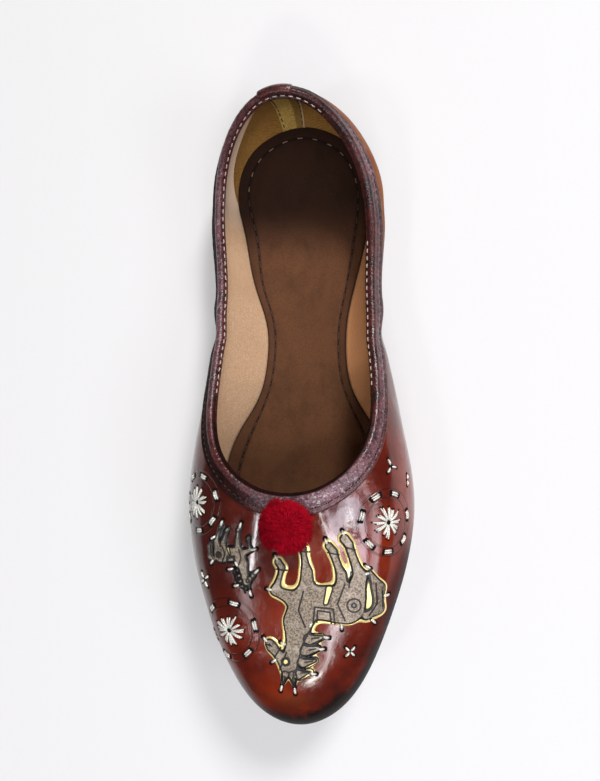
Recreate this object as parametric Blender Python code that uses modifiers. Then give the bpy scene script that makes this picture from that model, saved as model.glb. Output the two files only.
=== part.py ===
"""Embroidered ballet flat: a slip-on leather shoe on a thin sole with a low heel lift.

The shoe stands on its sole, toe towards -Y, heel towards +Y, and +Z is up.
Sizes are in millimetres and are turned into metres as each mesh is made.
Every plan curve is a ring round the last, read at an angle s that is 0 at the toe,
pi at the heel and 2 pi back at the toe.  Its share of the length is (1 - cos s) / 2.
"""
import math

import bmesh
import bpy
import numpy as np
from mathutils import Matrix

MM = 0.001

# Driving sizes, in millimetres
TOE_TO_ORIGIN = 125.5        # the toe tip lies this far in front of the origin
WALL = 2.2                   # leather upper with its lining
SEAT = 0.3                   # gap left where one piece rests on another
SOLE_THICK = 5.0
TOE_SPRING = 20.5            # lift of the sole's underside at the toe tip
SPRING_END = 90.0            # where the forefoot comes down flat
SPRING_CURVE = 1.8           # power of the toe spring's curve
FLAT_END = 115.0             # where the forefoot's flat spot ends
ARCH_RUN = 60.0              # length of the rise from the flat spot to the heel
HEEL_RISE = 2.7              # underside of the sole above the floor at the heel
LIFT_FRONT = 175.0           # front edge of the heel lift, from the toe tip
LIFT_INSET = 0.6
INSOLE_THICK = 1.6
EDGE_ROUND = 0.7             # rounding of the sole's edges
BINDING_WIDE = 3.6
BINDING_TALL = 2.6
POMPOM_AT = 77.0             # centre of the pompom, from the toe tip
POMPOM_WIDE = 21.0
POMPOM_TALL = 12.0

# Grid of the meshes
AROUND = 72                  # steps round a ring
UP_WALL = 14                 # steps from the sole's edge to the topline
BEAD_SIDES = 8

# Stations of the tables below, as shares of the way round a ring from toe to heel
STATIONS = {
    "toe": 0.0,
    "tip": 0.12,
    "ball": 0.32,
    "instep": 0.46,
    "waist": 0.62,
    "quarter": 0.82,
    "heel": 1.0,
}
SHARES = np.array(list(STATIONS.values()))

# Control rings of the upper, from the sole's edge to the topline, one value a station.
# along is measured from the toe tip; half is the half width before the round ends
# pull it in; high is the height above the floor, and None is the sole's own top.
RINGS = {
    #            toe   tip    ball   instep waist  quarter heel
    "feather": {
        "along": (4.0, 32.0, 82.0, 119.0, 156.0, 205.0, 247.5),
        "half": (50.5, 43.0, 41.5, 29.6, 21.2, 41.0, 52.5),
        "high": None,
    },
    "belly": {
        "along": (-5.8, 25.0, 78.0, 119.0, 160.0, 209.0, 254.5),
        "half": (54.0, 51.0, 52.5, 40.5, 31.5, 48.0, 57.5),
        "high": (35.0, 28.0, 17.0, 13.5, 13.0, 15.0, 14.0),
    },
    "shoulder": {
        "along": (-4.8, 27.0, 82.0, 125.0, 167.0, 210.0, 250.5),
        "half": (57.0, 53.5, 50.5, 40.8, 38.6, 49.4, 54.5),
        "high": (65.0, 57.0, 37.0, 25.0, 18.0, 22.0, 30.0),
    },
    "crown": {
        "along": (45.0, 68.0, 106.0, 136.0, 169.0, 210.0, 245.0),
        "half": (43.0, 45.0, 42.0, 36.4, 35.4, 44.4, 47.5),
        "high": (43.5, 46.0, 40.5, 30.5, 23.0, 27.5, 45.0),
    },
    "rim": {
        "along": (86.0, 96.0, 117.0, 140.0, 170.0, 209.0, 237.5),
        "half": (37.0, 36.4, 35.0, 32.3, 32.3, 39.8, 43.5),
        "high": (55.5, 52.5, 43.0, 35.5, 29.5, 34.5, 57.5),
    },
}

# Sole outline: just outside the upper's lower edge, and inside its belly
SOLE_RING = {
    "along": (2.6, 31.0, 82.0, 119.0, 156.0, 206.0, 249.0),
    "half": (52.0, 44.5, 43.0, 31.2, 22.8, 42.6, 54.0),
}

COLOURS = {
    "outsole": ((0.035, 0.033, 0.034), 0.55),
    "heel_lift": ((0.030, 0.028, 0.028), 0.60),
    "insole": ((0.130, 0.070, 0.035), 0.90),
    "upper": ((0.300, 0.060, 0.022), 0.25),
    "topline_binding": ((0.085, 0.035, 0.030), 0.45),
    "pompom": ((0.420, 0.012, 0.025), 0.95),
}


def smooth_step(share):
    """Rise from 0 to 1 with level ends."""
    share = np.clip(share, 0.0, 1.0)
    return share * share * (3.0 - 2.0 * share)


def sole_bottom(along):
    """Height of the sole's underside at a distance from the toe tip."""
    spring = np.clip(SPRING_END - along, 0.0, None) / SPRING_END
    arch = smooth_step((along - FLAT_END) / ARCH_RUN)
    return TOE_SPRING * spring ** SPRING_CURVE + HEEL_RISE * arch


def sole_top(along):
    """Height of the sole's upper face at a distance from the toe tip."""
    return sole_bottom(along) + SOLE_THICK


def through(values, share):
    """Natural cubic spline through one value at each station, read at the shares."""
    values = np.asarray(values, dtype=float)
    gaps = np.diff(SHARES)
    count = len(SHARES)
    system = np.eye(count)
    right = np.zeros(count)
    for i in range(1, count - 1):
        system[i, i - 1:i + 2] = (gaps[i - 1], 2.0 * (gaps[i - 1] + gaps[i]), gaps[i])
        rise_after = (values[i + 1] - values[i]) / gaps[i]
        rise_before = (values[i] - values[i - 1]) / gaps[i - 1]
        right[i] = 6.0 * (rise_after - rise_before)
    bend = np.linalg.solve(system, right)
    k = np.clip(np.searchsorted(SHARES, share, side="right") - 1, 0, count - 2)
    after = share - SHARES[k]
    before = SHARES[k + 1] - share
    gap = gaps[k]
    cubic = (bend[k] * before ** 3 + bend[k + 1] * after ** 3) / (6.0 * gap)
    low = (values[k] / gap - bend[k] * gap / 6.0) * before
    high = (values[k + 1] / gap - bend[k + 1] * gap / 6.0) * after
    return cubic + low + high


def plan(ring, angle):
    """Plan curve of a ring: distances across and along the last at each angle."""
    share = (1.0 - np.cos(angle)) / 2.0
    across = through(ring["half"], share) * np.sin(angle)
    return across, through(ring["along"], share)


def control_ring(ring, angle):
    """Points of one control ring of the upper."""
    across, along = plan(ring, angle)
    if ring["high"] is None:
        high = sole_top(along) + SEAT
    else:
        high = through(ring["high"], (1.0 - np.cos(angle)) / 2.0)
    return np.stack([across, along, high], axis=-1)


def upper_surface(angle, rise):
    """Outer face of the upper.

    Each angle has one quartic Bezier curve from the sole's edge (rise 0) to the
    topline (rise 1), whose five control points are read from the five rings.
    """
    rings = [control_ring(ring, angle) for ring in RINGS.values()]
    degree = len(rings) - 1
    surface = np.zeros((len(angle), len(rise), 3))
    for k, ring in enumerate(rings):
        weight = math.comb(degree, k) * rise ** k * (1.0 - rise) ** (degree - k)
        surface += ring[:, None, :] * weight[None, :, None]
    return surface


def inset(across, along, distance):
    """Move a closed plan curve inwards by a distance, square to itself."""
    step_x = np.roll(across, -1) - np.roll(across, 1)
    step_y = np.roll(along, -1) - np.roll(along, 1)
    length = np.hypot(step_x, step_y)
    return across - distance * step_y / length, along + distance * step_x / length


def ring_angles(count):
    """Evenly spaced angles round a ring."""
    return np.arange(count) * 2.0 * math.pi / count


def make_material(name):
    """Plain Principled material in the piece's colour."""
    colour, roughness = COLOURS[name]
    material = bpy.data.materials.new(name)
    material.use_nodes = True
    shader = material.node_tree.nodes["Principled BSDF"]
    shader.inputs["Base Color"].default_value = (*colour, 1.0)
    shader.inputs["Roughness"].default_value = roughness
    shader.inputs["Metallic"].default_value = 0.0
    return material


def add_object(name, points, faces, collection, sharp_angle):
    """Make a named object from points in millimetres along the last and its faces."""
    placed = np.array(points, dtype=float)
    placed[:, 1] -= TOE_TO_ORIGIN
    mesh = bpy.data.meshes.new(name)
    mesh.from_pydata((placed * MM).tolist(), [], faces)
    shell = bmesh.new()
    shell.from_mesh(mesh)
    bmesh.ops.recalc_face_normals(shell, faces=shell.faces)
    shell.to_mesh(mesh)
    shell.free()
    mesh.shade_smooth()
    mesh.set_sharp_from_angle(angle=math.radians(sharp_angle))
    mesh.materials.append(make_material(name))
    piece = bpy.data.objects.new(name, mesh)
    collection.objects.link(piece)
    return piece


def ladder(count, first, upward):
    """Faces that close a ring of points by rungs from side to side."""
    faces = [(first, first + 1, first + count - 1)]
    for i in range(1, count // 2 - 1):
        faces.append((first + i, first + i + 1, first + count - i - 1, first + count - i))
    half = count // 2
    faces.append((first + half - 1, first + half, first + half + 1))
    if upward:
        return faces
    return [tuple(reversed(face)) for face in faces]


def band(count, first, second):
    """Faces between two rings of points, the second one above the first."""
    faces = []
    for i in range(count):
        j = (i + 1) % count
        faces.append((first + i, first + j, second + j, second + i))
    return faces


def layered_plate(name, across, along, low, high, collection):
    """Plate that follows the sole's curve, with rounded top and bottom edges.

    low and high are functions giving its faces' heights at a distance along the last.
    """
    count = len(across)
    points = []
    rows = (
        (EDGE_ROUND, low, 0.0),
        (0.0, low, EDGE_ROUND),
        (0.0, high, -EDGE_ROUND),
        (EDGE_ROUND, high, 0.0),
    )
    for inward, height, offset in rows:
        x, y = inset(across, along, inward)
        points.extend(zip(x, y, height(y) + offset))
    faces = ladder(count, 0, False)
    for k in range(len(rows) - 1):
        faces.extend(band(count, k * count, (k + 1) * count))
    faces.extend(ladder(count, (len(rows) - 1) * count, True))
    return add_object(name, points, faces, collection, 50.0)


def make_outsole(collection):
    """Thin sole with a toe spring, a flat spot under the ball and a low arch."""
    across, along = plan(SOLE_RING, ring_angles(AROUND))
    return layered_plate("outsole", across, along, sole_bottom, sole_top, collection)


def make_heel_lift(collection):
    """Flat lift under the heel, cut straight across in front."""
    angles = ring_angles(AROUND * 2)
    across, along = plan(SOLE_RING, angles)
    across, along = inset(across, along, LIFT_INSET)
    right = angles < math.pi
    front = np.interp(LIFT_FRONT, along[right], across[right])
    behind = along > LIFT_FRONT
    across = np.concatenate([[front], across[behind], [-front]])
    along = np.concatenate([[LIFT_FRONT], along[behind], [LIFT_FRONT]])
    count = len(across)
    points = [(x, y, 0.0) for x, y in zip(across, along)]
    points.extend((x, y, HEEL_RISE - SEAT) for x, y in zip(across, along))
    faces = [tuple(reversed(range(count))), tuple(range(count, 2 * count))]
    faces.extend(band(count, 0, count))
    return add_object("heel_lift", points, faces, collection, 40.0)


def make_insole(collection):
    """Sock that lies on the sole, inside the upper's wall."""
    across, along = plan(RINGS["feather"], ring_angles(AROUND))
    across, along = inset(across, along, WALL + SEAT)

    def under(distance):
        return sole_top(distance) + SEAT

    def over(distance):
        return sole_top(distance) + SEAT + INSOLE_THICK

    return layered_plate("insole", across, along, under, over, collection)


def make_upper(collection):
    """One hollow wall of leather, open at the collar and underneath."""
    angles = ring_angles(AROUND)
    rise = np.linspace(0.0, 1.0, UP_WALL + 1)
    surface = upper_surface(angles, rise)
    points = surface.transpose(1, 0, 2).reshape(-1, 3)
    faces = []
    for k in range(UP_WALL):
        faces.extend(band(AROUND, k * AROUND, (k + 1) * AROUND))
    piece = add_object("upper", points, faces, collection, 60.0)
    wall = piece.modifiers.new("wall", "SOLIDIFY")
    wall.thickness = WALL * MM
    wall.offset = -1.0
    wall.use_even_offset = True
    wall.use_rim = True
    return piece


def make_topline_binding(collection):
    """Rolled edge that caps the upper's wall all round the collar."""
    angles = ring_angles(AROUND)
    surface = upper_surface(angles, np.array([1.0 - 1.0 / UP_WALL, 1.0]))
    rim = surface[:, 1]
    rise = rim - surface[:, 0]
    rise /= np.linalg.norm(rise, axis=1)[:, None]
    run = np.roll(rim, -1, axis=0) - np.roll(rim, 1, axis=0)
    outward = np.cross(run, rise)
    outward /= np.linalg.norm(outward, axis=1)[:, None]
    centre = rim - outward * WALL / 2.0 + rise * (SEAT + BINDING_TALL / 2.0)
    points = []
    for k in range(BEAD_SIDES):
        turn = math.pi / BEAD_SIDES * (2 * k + 1)
        # the flat sides of the bead face the wall below it and the open air above
        stretch = math.cos(math.pi / BEAD_SIDES)
        wide = BINDING_WIDE / 2.0 * math.cos(turn) / stretch
        tall = BINDING_TALL / 2.0 * math.sin(turn) / stretch
        points.append(centre + outward * wide + rise * tall)
    points = np.concatenate(points)
    faces = []
    for k in range(BEAD_SIDES):
        faces.extend(band(AROUND, k * AROUND, (k + 1) % BEAD_SIDES * AROUND))
    return add_object("topline_binding", points, faces, collection, 60.0)


def make_pompom(collection):
    """Flattened ball of cut wool sewn on the vamp, just in front of the throat."""
    rise = np.linspace(0.0, 1.0, 200)
    centre_line = upper_surface(np.array([0.0]), rise)[0]
    top = centre_line[len(rise) // 4:]
    ground = np.interp(POMPOM_AT, top[:, 1], top[:, 2])
    slope = np.interp(POMPOM_AT + 1.0, top[:, 1], top[:, 2]) - ground
    bpy.ops.mesh.primitive_uv_sphere_add(segments=24, ring_count=12, radius=0.5)
    piece = bpy.context.object
    piece.name = "pompom"
    piece.data.name = "pompom"
    size = (POMPOM_WIDE * MM, POMPOM_WIDE * MM, POMPOM_TALL * MM, 1.0)
    piece.data.transform(Matrix.Diagonal(size))
    piece.rotation_euler = (math.atan(slope), 0.0, 0.0)
    lift = (POMPOM_TALL / 2.0 + SEAT) / math.cos(math.atan(slope))
    piece.location = (0.0, (POMPOM_AT - TOE_TO_ORIGIN) * MM, (ground + lift) * MM)
    piece.data.shade_smooth()
    piece.data.materials.append(make_material("pompom"))
    for home in list(piece.users_collection):
        home.objects.unlink(piece)
    collection.objects.link(piece)
    return piece


def clear_scene():
    """Remove whatever objects the scene starts with."""
    for existing in list(bpy.data.objects):
        bpy.data.objects.remove(existing, do_unlink=True)


def main():
    """Build the shoe."""
    clear_scene()
    collection = bpy.data.collections.new("embroidered_ballet_flat")
    bpy.context.scene.collection.children.link(collection)
    make_outsole(collection)
    make_heel_lift(collection)
    make_insole(collection)
    make_upper(collection)
    make_topline_binding(collection)
    make_pompom(collection)


main()
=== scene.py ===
"""Looks of an embroidered leather ballet flat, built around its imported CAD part.

Lengths in this script are millimetres in the part's own frame: x across the shoe, y
from toe to heel and z up from the floor. make_piece() turns them into metres.
"""

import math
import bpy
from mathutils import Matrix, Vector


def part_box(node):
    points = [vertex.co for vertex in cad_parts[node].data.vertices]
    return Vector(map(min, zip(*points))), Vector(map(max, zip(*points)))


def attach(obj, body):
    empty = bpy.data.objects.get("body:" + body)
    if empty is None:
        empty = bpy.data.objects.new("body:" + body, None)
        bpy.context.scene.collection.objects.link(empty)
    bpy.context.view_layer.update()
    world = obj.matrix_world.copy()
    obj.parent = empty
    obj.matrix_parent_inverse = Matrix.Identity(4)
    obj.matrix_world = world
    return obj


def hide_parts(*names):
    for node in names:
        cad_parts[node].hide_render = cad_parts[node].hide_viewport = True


bl_info = {
    "name": "Embroidered ballet flat",
    "version": (1, 0, 0),
    "blender": (4, 5, 0),
    "location": "3D View > Sidebar > Ballet flat",
    "description": "Leather, lining, stitching and embroidery of a ballet flat",
    "category": "Add Mesh",
}

import bmesh
import bpy
import numpy as np
from bpy.props import FloatProperty, FloatVectorProperty, IntProperty, PointerProperty
from mathutils import Matrix, Vector

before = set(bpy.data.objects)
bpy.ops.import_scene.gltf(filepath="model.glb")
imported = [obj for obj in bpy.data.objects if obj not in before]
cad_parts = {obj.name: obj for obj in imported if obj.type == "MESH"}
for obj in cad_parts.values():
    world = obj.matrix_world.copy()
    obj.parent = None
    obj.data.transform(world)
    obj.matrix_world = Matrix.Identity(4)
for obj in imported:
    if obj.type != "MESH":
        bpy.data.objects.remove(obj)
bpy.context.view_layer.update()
MM = 0.001

# ---------------------------------------------------------------- shape of the shoe

TOE_TO_ORIGIN = 125.5        # distance from the toe tip to the frame's origin
SHOWN_WALL = 1.7             # leather and lining together where they show
LIP = (154.0, 136.0)         # how far the binding's lip turns, at throat and at heel, degrees
SEAT = 0.3                   # gap between glued pieces
SOLE_THICK = 5.0
TOE_SPRING = 20.5            # lift of the sole's underside at the toe tip
SPRING_END = 90.0            # where the forefoot comes down flat
SPRING_CURVE = 1.8           # power of the toe spring's curve
FLAT_END = 115.0             # where the forefoot's flat spot ends
ARCH_END = 175.0             # where the sole has risen to the heel's height
HEEL_RISE = 2.7              # underside of the sole above the floor at the heel
LIFT_FRONT = 175.0           # front edge of the heel lift, from the toe tip
LIFT_INSET = 0.6             # the lift's edge inside the sole's
INSOLE_THICK = 1.6
BINDING_GAP = 0.12           # between the binding and the wall that it wraps
BACK_STRIP = 183.6           # middle of the strip inside the heel, degrees round from the toe
STRIP_SEAM = 5.4             # its two seams, in degrees from its middle
TAB_MIDDLE = 182.5           # middle of the heel tab, in the same degrees
TAB_DROP = 2.8               # how far the heel tab comes down outside
HEEL_RADIUS = 43.5           # half the width of the topline round the heel
SUEDE_NAP = 0.6              # how far the suede stands over the insole's own thickness
GROOVE = 0.42                # how deep the insole's stitches are pulled in
PRESSED_RINGS = (9.2, 12.2)  # radii of the rings pressed round each rosette
DASH_RINGS = (10.35, 11.15)  # radii of the two threads of each dash round a rosette
PETALS = 12                  # doubled petals of a rosette
PLY_PITCH = 0.8              # length in which a thread's two plies turn once
POMPOM_HIGH = 12.4           # the wool's height before it is tilted
POMPOM_TILT = 9.0            # how far its heel side is raised, degrees
POMPOM_TUFTS = 230           # tufts that the strands gather in
POMPOM_CORE = 0.74           # size of the core, as a share of the wool's
UPRIGHT = np.array([0.0, 0.0, 1.0])

# toe, tip, ball, instep, waist, quarter and heel, as shares of the way from toe to heel
STATIONS = np.array([0.0, 0.12, 0.32, 0.46, 0.62, 0.82, 1.0])

# Control rings of the upper from the sole's edge to the topline, one value a station:
# along from the toe tip, half width, and height, where None is the sole's own top
RINGS = {
    "feather": {
        "along": (4.0, 32.0, 82.0, 119.0, 156.0, 205.0, 247.5),
        "half": (50.5, 43.0, 41.5, 29.6, 21.2, 41.0, 52.5),
        "high": None,
    },
    "belly": {
        "along": (-5.8, 25.0, 78.0, 119.0, 160.0, 209.0, 254.5),
        "half": (54.0, 51.0, 52.5, 40.5, 31.5, 48.0, 57.5),
        "high": (35.0, 28.0, 17.0, 13.5, 13.0, 15.0, 14.0),
    },
    "shoulder": {
        "along": (-4.8, 27.0, 82.0, 125.0, 167.0, 210.0, 250.5),
        "half": (57.0, 53.5, 50.5, 40.8, 38.6, 49.4, 54.5),
        "high": (65.0, 57.0, 37.0, 25.0, 18.0, 22.0, 30.0),
    },
    "crown": {
        "along": (45.0, 68.0, 106.0, 136.0, 169.0, 210.0, 245.0),
        "half": (43.0, 45.0, 42.0, 36.4, 35.4, 44.4, 47.5),
        "high": (43.5, 46.0, 40.5, 30.5, 23.0, 27.5, 45.0),
    },
    "rim": {
        "along": (86.0, 96.0, 117.0, 140.0, 170.0, 209.0, 237.5),
        "half": (37.0, 36.4, 35.0, 32.3, 32.3, 39.8, 43.5),
        "high": (55.5, 52.5, 43.0, 35.5, 29.5, 34.5, 57.5),
    },
}
SOLE_RING = {
    "along": (2.6, 31.0, 82.0, 119.0, 156.0, 206.0, 249.0),
    "half": (52.0, 44.5, 43.0, 31.2, 22.8, 42.6, 54.0),
}

# Soft troughs (out below 0) and ridges (out above 0) that wear has put in the leather:
# middle x, along and z, direction, length, width and how far out
FOLDS = (
    ((-36.0, 151.0, 27.0), (0.0, 0.30, -0.95), 12.0, 4.5, -1.4),
    ((-40.0, 132.0, 22.0), (0.0, 0.93, 0.36), 22.0, 6.0, 0.8),
    ((-36.0, 162.0, 24.0), (0.0, 0.35, -0.93), 11.0, 5.0, 0.9),
    ((36.0, 148.0, 27.0), (0.0, 0.35, -0.93), 12.0, 4.5, -1.2),
    ((40.0, 130.0, 22.0), (0.0, 0.95, 0.30), 22.0, 6.0, 0.7),
    ((36.0, 160.0, 23.0), (0.0, 0.30, -0.95), 11.0, 5.0, 0.8),
    ((12.5, 80.0, 53.0), (-0.30, 0.95, 0.0), 13.0, 4.6, 0.42),
    ((20.0, 78.0, 52.0), (-0.25, 0.97, 0.0), 13.0, 4.4, -0.26),
    ((-12.5, 72.0, 52.0), (0.10, 0.99, 0.0), 13.0, 4.7, 0.55),
    ((-36.0, 205.0, 22.0), (0.0, 0.20, 0.98), 18.0, 7.0, -0.5),
    ((37.0, 203.0, 22.0), (0.0, 0.15, 0.99), 18.0, 7.0, -0.5),
    ((14.0, 20.0, 47.0), (0.80, 0.60, 0.0), 12.0, 5.0, -0.35),
)

# How far the insole's edge and the lining's foot keep inside the wall: middle along,
# length, and distance on the left and on the right
TUCKS = (
    (130.0, 17.0, 4.9, 4.5),
    (155.0, 16.0, 3.2, 0.8),
    (194.0, 20.0, 4.1, 0.9),
    (250.0, 11.0, 3.2, 3.2),
)


def smooth_step(share):
    """Rise from 0 to 1 with level ends: three squares less two cubes."""
    share = np.clip(share, 0.0, 1.0)
    return share * share * (3.0 - 2.0 * share)


def ramp(values, start, end):
    """Smooth step from 0 where the values are at start to 1 where they are at end."""
    return smooth_step((values - start) / (end - start))


def bell(values, middle, spread):
    """1 at the middle, and the exponential of minus a square to both sides of it."""
    return np.exp(-((values - middle) / spread) ** 2)


def unit(vectors):
    """Vectors of length one in the same directions."""
    return vectors / np.linalg.norm(vectors, axis=-1, keepdims=True)


def sole_bottom(along):
    """Height of the sole's underside: a power curve at the toe and a step at the arch."""
    spring = np.clip(SPRING_END - along, 0.0, None) / SPRING_END
    arch = ramp(along, FLAT_END, ARCH_END)
    return TOE_SPRING * spring ** SPRING_CURVE + HEEL_RISE * arch


def sole_top(along):
    """Height of the sole's upper face."""
    return sole_bottom(along) + SOLE_THICK


def through(values, share):
    """Natural cubic spline through one value a station, read at the shares."""
    values = np.asarray(values)
    gap = np.diff(STATIONS)
    inner = np.arange(1, len(gap))
    system = np.eye(len(values))
    system[inner, inner - 1] = gap[:-1]
    system[inner, inner] = 2.0 * (gap[:-1] + gap[1:])
    system[inner, inner + 1] = gap[1:]
    change = np.zeros(len(values))
    change[1:-1] = 6.0 * np.diff(np.diff(values) / gap)
    bend = np.linalg.solve(system, change)
    k = np.clip(np.searchsorted(STATIONS, share, side="right") - 1, 0, len(gap) - 1)
    after = (share - STATIONS[k]) / gap[k]
    before = 1.0 - after
    curve = (before ** 3 - before) * bend[k] + (after ** 3 - after) * bend[k + 1]
    return before * values[k] + after * values[k + 1] + curve * gap[k] ** 2 / 6.0


def plan(ring, angle):
    """Across and along of a ring: a circle's angle, stretched by the spline of widths."""
    share = (1.0 - np.cos(angle)) / 2.0
    return through(ring["half"], share) * np.sin(angle), through(ring["along"], share)


def smooth_face(angle, rise):
    """The upper's outer face: at each angle a quartic Bezier through the five rings."""
    angle, rise = np.broadcast_arrays(angle, rise)
    share = (1.0 - np.cos(angle)) / 2.0
    degree = len(RINGS) - 1
    face = np.zeros(angle.shape + (3,))
    for k, ring in enumerate(RINGS.values()):
        across, along = plan(ring, angle)
        if ring["high"] is None:
            high = sole_top(along) + SEAT
        else:
            high = through(ring["high"], share)
        weight = math.comb(degree, k) * rise ** k * (1.0 - rise) ** (degree - k)
        face += np.stack([across, along - TOE_TO_ORIGIN, high], -1) * weight[..., None]
    return face


def slopes(angle, rise):
    """How the smooth face moves with angle and with rise, by central differences."""
    step = 0.001
    by_angle = smooth_face(angle + step, rise) - smooth_face(angle - step, rise)
    by_rise = smooth_face(angle, rise + step) - smooth_face(angle, rise - step)
    return by_angle / (2.0 * step), by_rise / (2.0 * step)


def folds(points):
    """How far the leather stands out: a sum of stretched bell curves and slow waves."""
    out = np.zeros(points.shape[:-1])
    for middle, direction, length, width, height in FOLDS:
        away = points - np.array(middle) + np.array([0.0, TOE_TO_ORIGIN, 0.0])
        run = away @ unit(np.array(direction))
        side = (away ** 2).sum(-1) - run ** 2
        out += height * np.exp(-(run / length) ** 2 - side / width ** 2)
    waves = np.sin(points[..., 0] * 0.21 + 1.0) * np.sin(points[..., 1] * 0.13)
    return out + 0.10 * waves * np.sin(points[..., 2] * 0.17 + 0.5)


def leather(angle, rise):
    """Points of the outer face with its folds, and the smooth face's normals there."""
    normal = unit(np.cross(*slopes(angle, rise)))
    points = smooth_face(angle, rise)
    return points + normal * folds(points)[..., None], normal


def inner_face(angle, rise, inward):
    """Points a distance inside the leather, whose foot curves in by the tucks besides."""
    points, normal = leather(angle, rise)
    across, along = points[..., 0], points[..., 1] + TOE_TO_ORIGIN
    tuck = np.zeros(along.shape)
    for middle, length, left, right in TUCKS:
        tuck += np.where(across < 0.0, left, right) * bell(along, middle, length)
    above = (points[..., 2] - sole_top(along) - SEAT - INSOLE_THICK) / 14.0
    foot = np.clip(1.0 - above, 0.0, 1.0) ** 2
    level = unit(normal * (1.0 - UPRIGHT) + 1e-6 * UPRIGHT)
    return points - normal * inward - level * (tuck * foot)[..., None]


def rise_below_rim(angle, depth):
    """Rise of the points a distance below the topline, by correcting a straight guess."""
    angle, depth = np.broadcast_arrays(angle, depth)
    rim = smooth_face(angle, np.ones(angle.shape))
    rise = 1.0 - depth / 60.0
    for _ in range(5):
        reach = np.linalg.norm(smooth_face(angle, rise) - rim, axis=-1)
        rise = np.where(depth > 0.0, 1.0 - (1.0 - rise) * depth / np.maximum(reach, 1e-6), 1.0)
    return rise


def heelward(points):
    """0 round the throat, 1 from the waist back."""
    return ramp(points[..., 1] + TOE_TO_ORIGIN, 108.0, 132.0)


def over_rim(angle, walk, clearance):
    """A contour that climbs the outside, rolls over the topline and slopes down inside.

    walk is the distance along the contour, 0 where the outside meets the roll. The
    roll is an arc about the middle of the wall, a clearance larger than it, and ends
    where its normal is LIP degrees from level, whatever way the leather leans there.
    Gives points, the normals that face away from the wall, and the roll's length.
    """
    angle, walk = np.broadcast_arrays(angle, walk)
    radius = SHOWN_WALL / 2.0 + clearance
    rise = rise_below_rim(angle, np.maximum(-walk, 0.0))
    points, normal = leather(angle, rise)
    upward = unit(np.cross(normal, slopes(angle, rise)[0]))
    lip = LIP[0] + (LIP[1] - LIP[0]) * heelward(points)
    last = np.radians(lip) - np.arcsin(normal[..., 2])
    turn = np.clip(walk / radius, 0.0, last)
    beyond = np.maximum(walk - radius * last, 0.0)
    cosine, sine = np.cos(turn), np.sin(turn)
    outward = radius * cosine - SHOWN_WALL / 2.0 - beyond * sine
    points = points + normal * outward[..., None]
    points = points + upward * (radius * sine + beyond * cosine)[..., None]
    return points, normal * cosine[..., None] + upward * sine[..., None], radius * last


def inset(across, along, distance):
    """Move a closed plan curve inwards by a distance, square to itself."""
    step_x = np.roll(across, -1) - np.roll(across, 1)
    step_y = np.roll(along, -1) - np.roll(along, 1)
    length = np.hypot(step_x, step_y)
    return across - distance * step_y / length, along + distance * step_x / length


def plate(outline, spine, low, high, profile):
    """A closed plate from a plan curve, as a grid of angles by profile steps.

    low and high are functions that give the heights of its two faces at along. A
    profile step is a distance inwards, a share of the way from low to high, and a
    distance up from there. A distance inwards of None is the spine, a line down the
    middle of the plate between two values of along.
    """
    columns = []
    for inward, share, up in profile:
        if inward is None:
            x, y = 0.0 * outline[0], np.clip(outline[1], *spine)
        else:
            x, y = inset(*outline, inward)
        height = low(y) + share * (high(y) - low(y)) + up
        columns.append(np.stack([x, y - TOE_TO_ORIGIN, height], -1))
    points = np.stack(columns, 1)
    return np.concatenate([points, points[:1]])


# ---------------------------------------------------------------------- motif places

# Where each motif's middle lies on the upper (angle in degrees, rise), how far it is
# turned, and -1 where it is mirrored
PLACES = {
    "rosette_inner": (53.0, 0.718, 0.0, 1),
    "rosette_toe": (330.4, 0.591, 0.0, 1),
    "rosette_outer": (303.1, 0.741, 0.0, 1),
    "sprig_three": (62.6, 0.806, 20.0, 1),
    "sprig_single": (67.9, 0.589, 0.0, 1),
    "sprig_cross": (314.6, 0.591, 0.0, 1),
    "sprig_star": (25.5, 0.565, 0.0, 1),
    "big_horse": (14.5, 0.728, 180.0, 1),
    "small_horse": (329.5, 0.800, 180.0, -1),
}
# How many double dashes stand in the ring round each rosette
ROSETTES = {"rosette_inner": 7, "rosette_toe": 6, "rosette_outer": 7}


def lay(place, a, b):
    """Points and normals on the leather straight under the flat points (a, b) of a motif.

    The motif's flat plane touches the leather at its middle. Newton steps on angle and
    rise close the gap that is left within that plane.
    """
    angle, rise, turned, flip = PLACES[place]
    angle = np.full(a.shape, math.radians(angle))
    rise = np.full(a.shape, rise)
    middle, normal = leather(angle.flat[0], rise.flat[0])
    right = unit(np.cross(np.array([0.0, 1.0, 0.0]), normal))
    ahead = np.cross(normal, right)
    cosine, sine = math.cos(math.radians(turned)), math.sin(math.radians(turned))
    target_x = flip * a * cosine - b * sine
    target_y = flip * a * sine + b * cosine
    for _ in range(8):
        gap = smooth_face(angle, rise) - middle
        by_angle, by_rise = slopes(angle, rise)
        gap_x, gap_y = target_x - gap @ right, target_y - gap @ ahead
        ax, ay, rx, ry = by_angle @ right, by_angle @ ahead, by_rise @ right, by_rise @ ahead
        share = ax * ry - ay * rx
        angle = angle + (gap_x * ry - gap_y * rx) / share
        rise = rise + (gap_y * ax - gap_x * ay) / share
    return leather(angle, rise)


def motif_middle(place):
    """The point of the leather at a motif's middle."""
    angle, rise = PLACES[place][:2]
    return leather(math.radians(angle), rise)[0]


# --------------------------------------------------------------------- making meshes

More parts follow.
